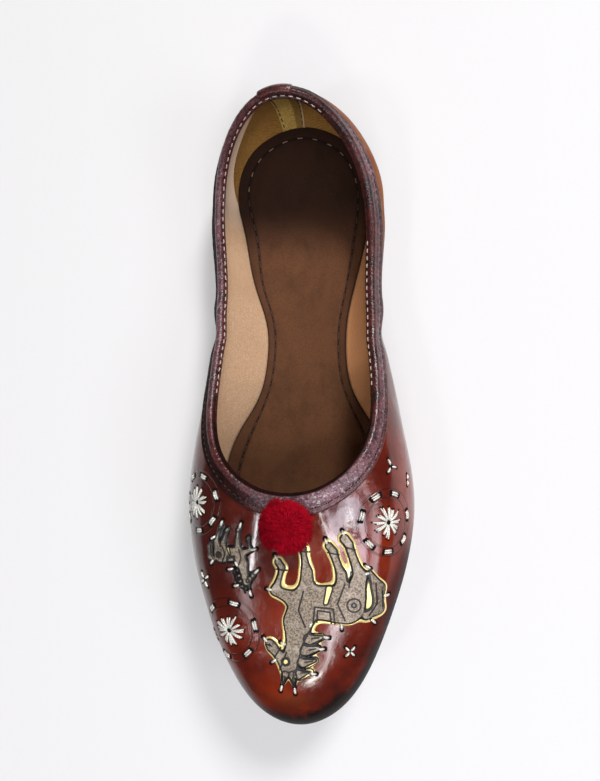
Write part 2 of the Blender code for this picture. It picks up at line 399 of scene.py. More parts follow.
def make_piece(name, material, points, uv=None, marks=None, keep=None,
               stands_for=(), wall=None):
    """One mesh piece from points shaped (..., rows, columns, 3).

    Neighbours in a grid are joined by four-sided faces, and equal points are merged,
    which closes seams and poles. marks are named numbers at the points, and keep says
    which points stay. A piece with a wall is one open face, which gets this thickness
    inwards. Any other piece is closed, and its faces are turned outwards.
    """
    rows, columns = points.shape[-3:-1]
    copies = points.reshape(-1, rows, columns, 3).shape[0]
    corner = np.arange(rows * columns).reshape(rows, columns)
    square = (corner[:-1, :-1], corner[1:, :-1], corner[1:, 1:], corner[:-1, 1:])
    square = np.stack(square, -1).reshape(-1, 4)
    faces = (square[None] + (np.arange(copies) * rows * columns)[:, None, None]).reshape(-1, 4)
    if keep is not None:
        faces = faces[keep.ravel()[faces].all(1)]
    mesh = bpy.data.meshes.new(name)
    mesh.vertices.add(points.size // 3)
    mesh.vertices.foreach_set("co", (points * MM).astype(np.float32).ravel())
    mesh.loops.add(faces.size)
    mesh.loops.foreach_set("vertex_index", faces.ravel())
    mesh.polygons.add(len(faces))
    mesh.polygons.foreach_set("loop_start", np.arange(len(faces)) * 4)
    mesh.update(calc_edges=True)
    if uv is not None:
        flat = mesh.uv_layers.new(name="cloth")
        flat.uv.foreach_set("vector", uv.reshape(-1, 2)[faces].astype(np.float32).ravel())
    for mark, numbers in (marks or {}).items():
        layer = mesh.attributes.new(mark, "FLOAT", "POINT")
        everywhere = np.broadcast_to(numbers, points.shape[:-1])
        layer.data.foreach_set("value", everywhere.astype(np.float32).ravel())
    shell = bmesh.new()
    shell.from_mesh(mesh)
    bmesh.ops.remove_doubles(shell, verts=shell.verts, dist=1e-6)
    loose = [vertex for vertex in shell.verts if not vertex.link_faces]
    bmesh.ops.delete(shell, geom=loose, context="VERTS")
    if wall is None:
        bmesh.ops.recalc_face_normals(shell, faces=shell.faces)
    shell.to_mesh(mesh)
    shell.free()
    mesh.shade_smooth()
    mesh.materials.append(material)
    piece = bpy.data.objects.new(name, mesh)
    bpy.context.scene.collection.objects.link(piece)
    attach(piece, "root")
    if stands_for:
        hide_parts(*stands_for)
    if wall is not None:
        solid = piece.modifiers.new("thickness", "SOLIDIFY")
        solid.thickness = wall * MM
        solid.offset = -1.0
        solid.use_rim = True


def slab(points, normals, thickness):
    """Close a sheet: its back is the points and its front stands out by the thickness."""
    front = points + normals * thickness[..., None]
    return np.concatenate([points, front[:, ::-1], points[:, :1]], axis=1)


def tube(path, upward, radius, sides=8):
    """Tubes round paths shaped (..., steps, 3), square to them, closed round and round."""
    ahead = unit(np.gradient(path, axis=-2))
    aside = unit(np.cross(ahead, upward))
    above = np.cross(aside, ahead)
    turn = np.linspace(0.0, 2.0 * math.pi, sides + 1)[:, None]
    ring = aside[..., None, :] * np.cos(turn) + above[..., None, :] * np.sin(turn)
    return path[..., None, :] + ring * np.asarray(radius)[..., None, None]


def stitches(path, normals, radius):
    """Threads along paths shaped (..., steps, 3) that come up and go down again.

    The height over the leather is the square root of a half sine wave, and the ends
    dip under it. Gives the tubes and where the needle went in and came out.
    """
    share = np.linspace(0.0, 1.0, path.shape[-2])
    arch = np.sqrt(np.sin(math.pi * share))
    height = radius * (2.2 * arch - 1.4)
    thick = radius * (0.45 + 0.55 * arch) * (arch > 0.01)
    holes, outs = (both[..., [0, -1], :].reshape(-1, 3) for both in (path, normals))
    return tube(path + normals * height[:, None], normals, thick), holes, outs


def stitch_uv(threads):
    """Distance along each thread and share of the way round it."""
    middle = threads[..., :-1, :].mean(-2)
    steps = np.linalg.norm(np.diff(middle, axis=-2), axis=-1)
    run = np.concatenate([np.zeros(steps.shape[:-1] + (1,)), np.cumsum(steps, -1)], -1)
    round_it = np.broadcast_to(np.linspace(0.0, 1.0, threads.shape[-2]), threads.shape[:-1])
    return np.stack([np.broadcast_to(run[..., None], threads.shape[:-1]), round_it], -1)


def running_stitches(points, normals, pitch, fill, radius):
    """A line of stitches along a run of points, a pitch apart, each a share fill long."""
    gaps = np.linalg.norm(np.diff(points, axis=0), axis=-1)
    run = np.concatenate([[0.0], np.cumsum(gaps)])
    count = max(int(round(run[-1] / pitch)), 1)
    start = np.arange(count)[:, None] + (1.0 - fill) / 2.0
    at = (start + np.linspace(0.0, fill, 9)) * run[-1] / count
    path, facing = (
        np.stack([np.interp(at, run, axis) for axis in np.broadcast_to(both, points.shape).T], -1)
        for both in (points, normals)
    )
    return stitches(path, unit(facing), radius)


def needle_holes(points, normals, radius, height):
    """Flattened dark balls at the points: painted shade in the mouths of needle holes."""
    aside = unit(np.cross(normals, np.array([0.31, 0.83, 0.46])))
    ahead = np.cross(normals, aside)
    tilt = np.linspace(0.0, math.pi, 5)[:, None, None]
    turn = np.linspace(0.0, 2.0 * math.pi, 9)[None, :, None]
    points, normals, aside, ahead = (v[:, None, None] for v in (points, normals, aside, ahead))
    sideways = (aside * np.cos(turn) + ahead * np.sin(turn)) * np.sin(tilt)
    return points + sideways * radius[:, None, None, None] + normals * np.cos(tilt) * height


def sew(name, thread, lines, holes_name=None, height=0.2):
    """The threads of stitched lines as one piece, and their needle holes as another.

    A line is what stitches() gives, then the radius of its holes where they show.
    """
    threads, holes, outs = (np.concatenate([line[k] for line in lines]) for k in range(3))
    make_piece(name, thread, threads, uv=stitch_uv(threads))
    if holes_name:
        radius = np.concatenate([np.full(len(line[1]), line[3]) for line in lines])
        make_piece(holes_name, needle_shadow(), needle_holes(holes, outs, radius, height))


# ------------------------------------------------------------------ writing materials

class Wire:
    """A shader socket that takes part in Python arithmetic."""

    def __init__(self, finish, socket):
        self.finish = finish
        self.socket = socket

    def maths(self, operation, *values):
        """A Math node on these values."""
        return self.finish.node("ShaderNodeMath", {"operation": operation}, values)

    def __add__(self, other):
        return self.maths("ADD", self, other)

    def __sub__(self, other):
        return self.maths("SUBTRACT", self, other)

    def __rsub__(self, other):
        return self.maths("SUBTRACT", other, self)

    def __mul__(self, other):
        return self.maths("MULTIPLY", self, other)

    def __abs__(self):
        return self.maths("ABSOLUTE", self)

    __radd__ = __add__
    __rmul__ = __mul__

    def sine(self):
        """Sine of the value, in radians."""
        return self.maths("SINE", self)

    def fade(self, low, high):
        """Smooth step from 0 at low to 1 at high; low may be the larger."""
        if low > high:
            return 1.0 - self.fade(high, low)
        settings = {"interpolation_type": "SMOOTHSTEP"}
        return self.finish.node("ShaderNodeMapRange", settings, (self, low, high, 0.0, 1.0))


class Finish:
    """A material being written: one shader and the nodes that feed it."""

    def __init__(self, name):
        self.material = bpy.data.materials.new(name)
        self.material.use_nodes = True
        self.tree = self.material.node_tree
        self.shader = self.tree.nodes["Principled BSDF"]

    def node(self, kind, settings, sockets, output=0):
        """A node of a kind: its settings first, then the values or links of its sockets."""
        made = self.tree.nodes.new(kind)
        for setting, value in settings.items():
            setattr(made, setting, value)
        named = sockets.items() if isinstance(sockets, dict) else enumerate(sockets)
        for key, value in named:
            self.feed(made.inputs[key], value)
        return Wire(self, made.outputs[output])

    def feed(self, socket, value):
        """Link a socket, or set its own value; text is the name of one of the colours."""
        if isinstance(value, Wire):
            self.tree.links.new(value.socket, socket)
            return
        if isinstance(value, str):
            value = getattr(bpy.context.scene.ballet_flat_colours, value)
        socket.default_value = (*value, 1.0) if socket.type == "RGBA" else value

    def mix(self, share, first, second):
        """Colour that goes from first to second as the share goes from 0 to 1."""
        settings = {"data_type": "RGBA", "clamp_factor": True}
        return self.node("ShaderNodeMix", settings, {0: share, 6: first, 7: second}, 2)

    def coats(self, tint, *coats):
        """A colour with others laid over it in turn, each as a share and a colour."""
        for share, over in coats:
            tint = self.mix(share, tint, over)
        return tint

    def place(self, stretch=(1.0, 1.0, 1.0)):
        """Object coordinates in millimetres, stretched along each axis."""
        here = self.node("ShaderNodeTexCoord", {}, (), "Object")
        scale = tuple(value / MM for value in stretch)
        return self.node("ShaderNodeVectorMath", {"operation": "MULTIPLY"}, (here, scale))

    def along_cloth(self):
        """The piece's own two directions in millimetres, one wire each."""
        flat = self.node("ShaderNodeUVMap", {"uv_map": "cloth"}, ())
        first = self.node("ShaderNodeSeparateXYZ", {}, (flat,))
        return first, Wire(self, first.socket.node.outputs[1])

    def mark(self, name):
        """A named number that the mesh carries."""
        return self.node("ShaderNodeAttribute", {"attribute_name": name}, (), "Fac")

    def noise(self, place, size, detail=3.0, roughness=0.5):
        """Cloudy noise from 0 to 1 whose largest clouds have a size in millimetres."""
        sockets = {"Vector": place, "Scale": 1.0 / size, "Detail": detail, "Roughness": roughness}
        return self.node("ShaderNodeTexNoise", {}, sockets)

    def cells(self, place, size):
        """Distance to the nearest of scattered points, 0 at each and about 1 between."""
        return self.node("ShaderNodeTexVoronoi", {}, {"Vector": place, "Scale": 1.0 / size})

    def bump(self, height, distance, strength=1.0, normal=None):
        """Normal of a relief: height times distance in millimetres."""
        sockets = {"Height": height, "Distance": distance * MM, "Strength": strength}
        if normal:
            sockets["Normal"] = normal
        return self.node("ShaderNodeBump", {}, sockets)

    def finish(self, **inputs):
        """Set the shader's inputs and give the material."""
        for name, value in inputs.items():
            self.feed(self.shader.inputs[name.replace("_", " ")], value)
        return self.material

    def blend(self, share, **inputs):
        """Add a second shader with these inputs, which takes over by the share."""
        first, output = self.shader, self.tree.nodes["Material Output"]
        self.shader = self.tree.nodes.new("ShaderNodeBsdfPrincipled")
        self.finish(**inputs)
        shaders = {0: share, 1: Wire(self, first.outputs[0]), 2: Wire(self, self.shader.outputs[0])}
        self.feed(output.inputs["Surface"], self.node("ShaderNodeMixShader", {}, shaders))
        return self.material


def burnished_leather():
    """Polished red-brown leather, tan low on the wall and almost black round the toe, with painted
    shade on the left of the vamp and painted light on the heel's sides.
    """
    hide = Finish("burnished_leather")
    place = hide.place()
    clouds = hide.noise(place, 26.0, 4.0, 0.55)
    mottled = hide.noise(place, 9.0, 5.0, 0.7).fade(0.34, 0.62)
    flecks = hide.noise(place, 2.2, 5.0, 0.65)
    strokes = hide.noise(hide.place((0.6, 0.2, 0.6)), 2.0, 4.0, 0.6)
    painted_shade_left, ring = hide.mark("painted_shade_left"), hide.mark("rosette")
    # Tan low on the wall, and painted light on the heel's sides
    tan_and_lit = hide.mark("tan_and_painted_light") * (0.5 + 0.5 * mottled)
    polished = hide.mark("burnish_and_shade") * (0.55 + 0.45 * clouds + 0.45 * mottled)
    specks = flecks.fade(0.56, 0.66) * hide.mark("flecks") * mottled
    inner, outer = (abs(ring - radius).fade(0.46, 0.14) for radius in PRESSED_RINGS)
    pressed = (inner + outer) * clouds.fade(0.15, 0.55)
    tint = hide.coats(
        "leather_dark",
        # Painted shade on the left of the vamp
        (clouds.fade(0.30, 0.72), "leather"),
        (painted_shade_left * 0.85, "leather_dark"),
        (painted_shade_left * 0.35, "burnish_and_shade"),
        (tan_and_lit.fade(0.10, 0.9), "leather_tan_and_lit"),
        (specks * 0.75, "burnish_and_shade"),
        (polished.fade(0.15, 0.95), "burnish_and_shade"),
        (pressed * 0.6, "burnish_and_shade"),
    )
    grain = hide.cells(place, 0.55)
    creases = hide.noise(hide.place((1.0, 0.25, 0.35)), 1.1, 5.0, 0.6)
    fine = hide.bump(grain * 0.20 + creases * 0.5 - pressed * 2.6, 0.07, 0.7)
    broad = hide.bump(hide.noise(place, 7.0, 3.0), 0.35, 0.6, fine)
    hide.finish(
        Base_Color=tint,
        Roughness=0.12 + 0.11 * flecks.fade(0.35, 0.75) + 0.10 * strokes.fade(0.4, 0.8),
        Normal=broad,
        Specular_IOR_Level=0.55,
        Coat_Weight=0.35 * strokes.fade(0.25, 0.6),
        Coat_Roughness=0.09,
        Coat_IOR=1.5,
    )
    return hide.blend(
        hide.mark("dull") * 0.9,
        Base_Color=tint,
        Roughness=0.7,
        Normal=broad,
        Specular_IOR_Level=0.1,
    )


def binding_leather():
    """Dark maroon leather with a fine pebbled grain, with painted pale sheen and glints in places
    and painted shade where it is marked shaded.
    """
    strip = Finish("binding_leather")
    place = strip.place()
    pebbles = strip.cells(place, 0.75)
    clouds = strip.noise(place, 6.0, 4.0, 0.6)
    flecks = strip.noise(place, 1.3, 5.0, 0.85).fade(0.52, 0.62)
    pale_share, shaded = strip.mark("pale_share"), strip.mark("shaded")
    tint = strip.coats(
        "binding_dark",
        (clouds.fade(0.3, 0.7), "binding"),
        # Painted sheen: pale mauve patches from the table, with painted glints in them
        (pale_share * (0.2 + 0.7 * clouds), "binding_sheen"),
        (pebbles.fade(0.55, 0.85) * 0.6, "binding_dark"),
        (flecks * (0.04 + 0.8 * pale_share), "binding_fleck_and_glint"),
        (shaded * 0.8, "burnish_and_shade"),
    )
    grain = strip.bump(1.0 - pebbles.fade(0.25, 0.8) + 0.5 * clouds, 0.12, 0.55)
    strip.finish(
        Base_Color=tint,
        Roughness=0.21 + 0.14 * clouds,
        Normal=grain,
        Specular_IOR_Level=0.45,
    )
    return strip.blend(
        shaded * 0.9,
        Base_Color=tint,
        Roughness=0.8,
        Normal=grain,
        Specular_IOR_Level=0.05,
    )


def woven_cloth(name, tint, shade, pitch):
    """Plain woven cloth: two sets of threads that take turns on top."""
    cloth = Finish(name)
    across, along = cloth.along_cloth()
    warp = (across * (math.pi / pitch)).sine()
    weft = (along * (math.pi / pitch)).sine()
    over = 0.5 + 0.5 * warp * weft
    slubs = cloth.noise(cloth.place((1.0, 0.7, 1.0)), 0.55, 3.0, 0.8).fade(0.32, 0.68)
    stains = cloth.noise(cloth.place(), 18.0, 3.0)
    return cloth.finish(
        Base_Color=cloth.coats(
            shade,
            (over * 0.45 + slubs * 0.55, tint),
            (stains.fade(0.45, 0.8) * 0.35, shade),
            # Painted shade, painted warm bounce light on the right, a painted highlight along the
            # back strip's edge and painted light at the back on the left
            (cloth.mark("dark") * 0.7, shade),
            (cloth.mark("painted_bounce") * 0.7, "lining_bounce_light"),
            (cloth.mark("painted_edge_highlight") * 0.8, "lining"),
            (cloth.mark("painted_light_left"), "lining_lit"),
        ),
        Roughness=0.92,
        Normal=cloth.bump(over * 0.6 + slubs * 0.5, 0.12, 0.6),
        Specular_IOR_Level=0.2,
    )


def insole_suede():
    """Dark brown suede with a napped, slightly streaky face and a darker border, and painted shade
    in its stitch groove, at its cut edge and towards the heel.
    """
    suede = Finish("insole_suede")
    place = suede.place()
    nap = suede.noise(place, 0.55, 4.0, 0.7)
    patches = suede.noise(suede.place((1.0, 0.7, 1.0)), 11.0, 5.0, 0.65)
    edge = suede.mark("inward")
    # Painted shade in the groove under the stitches and at the cut edge
    groove_shade = abs(edge - in_mm("insole_line")).fade(0.9, 0.2) + edge.fade(0.7, 0.2)
    return suede.finish(
        Base_Color=suede.coats(
            "insole_dark",
            (0.35 + 0.65 * patches.fade(0.25, 0.60), "insole"),
            (nap.fade(0.42, 0.68) * 0.5, "insole_dark"),
            (edge.fade(5.6, 4.8) * 0.38, "insole_dark"),
            # Painted shade towards the heel
            (suede.mark("heel") * 0.78, "burnish_and_shade"),
            (groove_shade * 0.6, "burnish_and_shade"),
        ),
        Roughness=0.88,
        Normal=suede.bump(nap + patches * 0.4, 0.14, 0.7),
        Sheen_Weight=0.06,
        Sheen_Roughness=0.5,
        Specular_IOR_Level=0.15,
    )


def sole_rubber():
    """Black sole with a painted, speckled edge that catches cold glints, a painted bluish sheen on
    its side and a painted pale highlight along a line low on it.
    """
    rubber = Finish("sole_rubber")
    place = rubber.place()
    grit = rubber.cells(place, 0.9)
    clouds = rubber.noise(rubber.place((1.0, 0.35, 1.0)), 7.0, 4.0, 0.6)
    fine = rubber.noise(place, 0.7, 4.0, 0.7)
    scratches = rubber.noise(rubber.place((1.0, 0.06, 1.0)), 0.8, 3.0, 0.6)
    specks = rubber.noise(place, 0.45, 3.0, 0.7)
    side, lip = rubber.mark("side"), rubber.mark("lip")
    zones = 0.25 + 0.75 * clouds.fade(0.38, 0.62)
    glint = specks.fade(0.60, 0.68) * zones * side
    # Painted bluish sheen on the side
    sheen = fine.fade(0.45, 0.65) * clouds.fade(0.50, 0.72) * side
    return rubber.finish(
        Base_Color=rubber.coats(
            "sole",
            (clouds.fade(0.3, 0.8), "sole_grey"),
            (sheen * 0.30, "sole_speck_and_sheen"),
            (glint, "sole_speck_and_sheen"),
            # Painted pale highlight along the lip
            (lip * (0.35 + 0.65 * fine) * 0.5, "sole_speck_and_sheen"),
            (scratches.fade(0.58, 0.70) * (1.0 - side) * 0.45, "sole_grey"),
        ),
        Roughness=0.40 - 0.18 * glint + 0.2 * clouds,
        Normal=rubber.bump(grit * 0.4 + fine * 0.9 + scratches * 0.3, 0.16, 0.8),
        Specular_IOR_Level=0.35,
    )


def welt_line():
    """The glue line between upper and sole, dark with stretches that show cream."""
    line = Finish("welt_line")
    pale_share = line.noise(line.place(), 1.2, 4.0, 0.7).fade(0.40, 0.58) * line.mark("showing")
    return line.finish(Base_Color=line.mix(pale_share, "burnish_and_shade", "sole_pale"), Roughness=0.55)


def twisted_thread(name, tint, shade, metallic=0.0, roughness=0.6):
    """Two-ply thread: slanted bands that wind along it."""
    thread = Finish(name)
    along, around = thread.along_cloth()
    ply = (along * (2.0 * math.pi / PLY_PITCH) + around * (4.0 * math.pi)).sine()
    hairs = thread.noise(thread.place(), 0.35, 3.0, 0.6)
    return thread.finish(
        Base_Color=thread.mix((ply * 0.5 + 0.5) * 0.75 + hairs * 0.25, shade, tint),
        Metallic=metallic,
        Roughness=roughness,
        Normal=thread.bump(ply * 0.5 + hairs * 0.4, 0.12, 0.9),
    )


def engraved_foil(name, edge_colour):
    """Foil-faced leather cut-out: a bare cut edge, a black outline and engraved lines."""
    foil = Finish(name)
    place = foil.place()
    inside, scored = foil.mark("inside"), foil.mark("scored")
    gilt = foil.mark("gilt").fade(-0.05, 0.05)
    stipple = foil.noise(place, 0.8, 4.0, 0.8)
    clouds = foil.noise(place, 5.0, 3.0)
    face = inside.fade(0.0, 0.12)
    lines = abs(inside - 0.16).fade(0.40, 0.22) + scored.fade(0.36, 0.20)
    tint = foil.coats(
        "foil_dark",
        (stipple.fade(0.40, 0.58), "foil"),
        (clouds.fade(0.50, 0.80) * 0.45, "foil_bright"),
        (gilt, "cut_edge"),
    )
    bare = 0.30 + 0.35 * gilt + 0.15 * (1.0 - face) * foil.mark("golden")
    return foil.finish(
        Base_Color=foil.coats(edge_colour, (face, tint), (lines, "ink")),
        Metallic=bare * (1.0 - lines),
        Roughness=0.24 + 0.30 * stipple * face,
        Normal=foil.bump(face * 0.8 - lines * 1.4 + stipple * 0.4 * face, 0.18, 0.9),
    )


def needle_shadow():
    """Painted shade for the inside of a needle hole: dark and dull."""
    dark = Finish("needle_shadow")
    lint = dark.noise(dark.place(), 0.4, 2.0)
    return dark.finish(
        Base_Color=dark.mix(lint * 0.4, "ink", "burnish_and_shade"),
        Roughness=0.85,
        Specular_IOR_Level=0.1,
    )


def pompom_wool():
    """Crimson wool with painted shade towards the root of each strand, and different from strand to
    strand.
    """
    wool = Finish("pompom_wool")
    # Painted shade towards the root of each strand
    lit = wool.mark("depth").fade(0.45, 1.0) * (0.25 + 0.75 * wool.mark("strand"))
    fuzz = wool.noise(wool.place(), 0.4, 3.0, 0.7)
    return wool.finish(
        Base_Color=wool.mix(lit, "wool_shade", "wool"),
        Roughness=0.9,
        Normal=wool.bump(fuzz, 0.1, 0.5),
        Specular_IOR_Level=0.10,
    )


def pale_floor():
    """Matt, almost white paper."""
    paper = Finish("pale_floor")
    fibres = paper.noise(paper.place(), 3.0, 2.0)
    darker = tuple(value * 0.985 for value in bpy.context.scene.ballet_flat_colours.floor)
    return paper.finish(
        Base_Color=paper.mix(fibres, "floor", darker),
        Roughness=0.85,
        Specular_IOR_Level=0.1,
        Emission_Color=(1.0, 1.0, 1.0),
        Emission_Strength=0.25,
    )


# --------------------------------------------------------------------------- settings

def length(label, what, value):
    """A length whose default is given in millimetres."""
    return FloatProperty(name=label, description=what, default=value * MM, min=0.0,
                         unit="LENGTH", precision=5)


def colour(label, what, red, green, blue):
    """A colour whose default is given in the usual 0 to 255 display values."""
    values = np.array([red, green, blue]) / 255.0
    linear = np.where(values <= 0.04045, values / 12.92, ((values + 0.055) / 1.055) ** 2.4)
    return FloatVectorProperty(name=label, description=what, default=linear.tolist(), size=3,
                               min=0.0, max=1.0, subtype="COLOR")


class BALLETFLAT_PG_sizes(bpy.types.PropertyGroup):
    """Sizes of the soft pieces, threads and wool."""

    leather_thick: length("Leather", "Thickness of the upper's leather", 1.1)
    lining_thick: length("Lining", "Thickness of the woven lining", 0.4)
    binding_thick: length("Binding", "Thickness of the topline binding", 0.75)
    binding_outside: length("Binding outside", "How far the binding comes down outside", 6.6)
    binding_inside: length("Binding inside", "How wide the binding's inner lip is", 2.2)
    outer_line: length("Outer stitch line", "Distance of the outer stitches below the rim", 4.2)
    outer_pitch: length("Outer stitch pitch", "Distance between outer stitches", 2.5)
    inner_line: length("Inner stitch line", "Distance of the inner stitches below the roll", 0.9)
    inner_pitch: length("Inner stitch pitch", "Distance between inner stitches", 3.0)
    thread_radius: length("Sewing thread", "Radius of the sewing thread", 0.23)
    silver_radius: length("Silver thread", "Radius of the silver embroidery thread", 0.42)
    hole_radius: length("Needle hole", "Radius of the needle holes round the embroidery", 0.82)
    tab_width: length("Heel tab width", "Length of the heel tab along the topline", 13.0)
    tab_thick: length("Heel tab", "How far the heel tab stands proud of the binding", 0.9)
    insole_line: length("Insole stitch line", "Distance of the stitches inside the edge", 4.5)
    insole_pitch: length("Insole stitch pitch", "Distance between insole stitches", 5.6)
    foil_thick: length("Cut-outs", "How far the foil cut-outs stand proud", 0.75)
    wool_radius: length("Wool strand", "Radius of a strand of wool", 0.15)
    wool_count: IntProperty(name="Wool strands", description="Strands in the pompom",
                            default=9000, min=100)


class BALLETFLAT_PG_colours(bpy.types.PropertyGroup):
    """Colours of the finishes."""

    leather: colour("Leather", "Body colour of the upper", 122, 35, 6)
    leather_dark: colour("Leather, dark", "Darker clouds in the upper", 70, 12, 3)
    # Tan that the polish lets through, also painted light on the heel's sides
    leather_tan_and_lit: colour("Leather, tan", "Where the polish lets the tan through", 134, 80, 32)
    # Also painted shade on the binding, the insole, the vamp's left, the toe's right and in needle
    # holes
    burnish_and_shade: colour("Burnish", "Almost black polish round the toe", 20, 9, 7)
    binding: colour("Binding", "Topline binding", 82, 31, 31)
    binding_dark: colour("Binding, dark", "Pores and creases of the binding", 34, 15, 12)
    # Mostly painted glints in the binding's sheen, and a few flecks of bare grain
    binding_fleck_and_glint: colour("Binding, flecks", "Where the grain's finish has gone", 206, 184, 190)
    # Painted sheen on the binding
    binding_sheen: colour("Binding, worn", "Where the binding is rubbed", 148, 112, 126)
    lining: colour("Lining", "Woven lining", 196, 165, 134)
    # Painted light at the back on the left
    lining_lit: colour("Lining, faded", "Paler stretch at the back on the left", 236, 212, 184)
    # Painted warm bounce light on the right side of the lining
    lining_bounce_light: colour("Lining, right side", "Warmer stretch of the lining", 216, 146, 92)
    lining_shade: colour("Lining, shade", "Between the lining's threads", 154, 120, 90)
    strip: colour("Back strip", "Tape over the back seam inside the heel", 236, 200, 112)
    counter: colour("Heel lining", "Ochre cloth inside the heel", 172, 128, 66)
    counter_shade: colour("Heel lining, shade", "Between its threads", 96, 66, 26)
    insole: colour("Insole", "Suede of the insole", 96, 62, 40)
    insole_dark: colour("Insole, dark", "Worn patches and border", 66, 41, 26)
    sole: colour("Sole", "Rubber of the sole", 13, 12, 13)
    sole_grey: colour("Sole, grey", "Scuffed rubber", 32, 31, 33)
    # Speckles, and the painted sheen and highlight on the sole's side
    sole_speck_and_sheen: colour("Sole, glints", "Paint glints on the sole's edge", 176, 186, 202)
    sole_pale: colour("Sole, joint", "Pale line at the joint with the upper", 222, 200, 184)
    outer_thread: colour("Outer thread", "Outer stitches of the binding", 66, 48, 36)
    outer_shade: colour("Outer thread, shade", "Between the plies", 26, 18, 14)
    cream_thread: colour("Cream thread", "Inner stitches of the binding", 236, 214, 200)
    cream_shade: colour("Cream thread, shade", "Between the plies", 150, 120, 110)
    brown_thread: colour("Brown thread", "Insole and back strip stitches", 74, 48, 34)
    brown_shade: colour("Brown thread, shade", "Between the plies", 32, 20, 14)
    silver: colour("Silver thread", "Embroidery", 252, 252, 244)
    silver_shade: colour("Silver thread, shade", "Between the plies", 186, 186, 176)
    foil: colour("Foil", "Face of the cut-outs", 150, 136, 118)
    foil_dark: colour("Foil, dark", "Stippled face of the cut-outs", 78, 68, 58)
    foil_bright: colour("Foil, bright", "Rubbed foil", 214, 204, 190)
    cut_edge: colour("Cut edge", "Bare edge of the cut-outs", 244, 222, 148)
    # Also painted shade in the needle holes
    ink: colour("Ink", "Engraved lines and needle holes", 12, 10, 9)
    wool: colour("Wool", "Tips of the pompom's strands", 192, 5, 36)
    # Painted shade at the roots of the strands
    wool_shade: colour("Wool, dark", "Roots of the pompom's strands", 104, 0, 16)
    floor: colour("Floor", "Paper under the shoe", 192, 192, 193)


class BALLETFLAT_PG_stage(bpy.types.PropertyGroup):
    """Camera and lights."""

    eye: FloatVectorProperty(name="Eye", description="Where the camera stands",
                             default=(0.0475, -0.0147, 0.3117), unit="LENGTH")
    aim: FloatVectorProperty(name="Aim", description="What the camera looks at",
                             default=(0.0, 0.002, 0.022), unit="LENGTH")
    roll: FloatProperty(name="Roll", description="Turn of the picture about its middle",
                        default=math.radians(1.0), subtype="ANGLE")
    lens: FloatProperty(name="Lens", description="Focal length for a 36 mm frame",
                        default=33.0, unit="CAMERA")
    daylight: FloatProperty(name="Daylight", description="Strength of the surrounding light",
                            default=0.10, min=0.0)


def in_mm(name):
    """A size from the panel, in millimetres."""
    return getattr(bpy.context.scene.ballet_flat_sizes, name) / MM


# ------------------------------------------------------------------------------ pieces

def upper_marks(rise, points):
    """Named numbers that the leather's finish reads at each point.

    They paint shade on the left of the vamp, give the distance to the nearest rosette's
    middle, darken the toe's wall and the rim with burnish and with painted shade on the
    toe's right, let tan through low on the wall and paint light on the heel's sides, let
    black flecks through, and take the polish off.
    """
    across, along = points[..., 0], points[..., 1] + TOE_TO_ORIGIN
    middles = np.stack([motif_middle(name) for name in ROSETTES])
    toe_half = ramp(along, 88.0, 58.0)
    # The dark band reaches higher on the toe's right, where shade is painted
    height = rise - 0.05 * ramp(across, -4.0, 16.0) - 0.02 * ramp(along, 22.0, 8.0)
    toe_wall = toe_half * (0.45 * ramp(height, 0.56, 0.44) + 0.55 * ramp(height, 0.42, 0.30))
    burnish_and_shade = (toe_wall + 0.35 * ramp(rise, 0.93, 1.0)) * ramp(along, 105.0, 75.0)
    low_glow = bell(rise, 0.16, 0.09) * bell(along, 66.0, 34.0)
    toe_glow = bell(along, 9.0, 8.0) * ramp(rise, 0.40, 0.52)
    # Painted light: tan on the heel's sides
    heel_painted_light = ramp(along, 172.0, 202.0) * bell(rise, 0.5, 0.36)
    toe_dull = toe_half * ramp(height, 0.60, 0.44) * (0.2 + 0.8 * ramp(across, -24.0, -8.0))
    left_dull = 0.9 * ramp(along, 60.0, 52.0) * ramp(rise, 0.60, 0.70) * ramp(across, -2.0, -8.0)
    return {
        # Painted shade on the left of the vamp
        "painted_shade_left": ramp(across, -13.0, -26.0) * ramp(along, 34.0, 56.0) * ramp(along, 112.0, 92.0),
        "rosette": np.linalg.norm(points[..., None, :] - middles, axis=-1).min(-1),
        "burnish_and_shade": np.clip(burnish_and_shade, 0.0, 1.0),
        "tan_and_painted_light": np.clip(low_glow + 0.5 * toe_glow + heel_painted_light, 0.0, 1.0),
        "flecks": bell(rise, 0.13, 0.10),
        "dull": np.max([toe_dull, left_dull, ramp(along, 172.0, 197.0)], axis=0),
    }


def ring_angles(count):
    """Evenly spaced angles round the shoe, the first one repeated at the end."""
    return np.linspace(0.0, 2.0 * math.pi, count + 1)


class BALLETFLAT_OT_upper(bpy.types.Operator):
    """Make the leather upper, with its folds, pressed rings and burnished toe"""

    bl_idname = "ballet_flat.upper"
    bl_label = "Leather upper"

    def execute(self, context):
        rise = np.linspace(0.0, 1.0, 91)[None]
        points = leather(ring_angles(400)[:, None], rise)[0]
        make_piece(
            "upper_leather", burnished_leather(), points, marks=upper_marks(rise, points),
            stands_for=("upper",), wall=in_mm("leather_thick"),
        )
        return {"FINISHED"}


def inner_cloth(angle, rise, deep):
    """A grid this deep inside the leather, and its two directions along the cloth."""
    points = inner_face(angle, rise, deep)
    steps_round = np.linalg.norm(np.diff(points, axis=0), axis=-1)
    steps_up = np.linalg.norm(np.diff(points, axis=1), axis=-1)
    middle = steps_round[:, steps_round.shape[1] // 2]
    across = np.concatenate([[0.0], np.cumsum(middle)])[:, None]
    up = np.concatenate([np.zeros((len(points), 1)), np.cumsum(steps_up, axis=1)], axis=1)
    return points, np.stack(np.broadcast_arrays(across, up), -1)


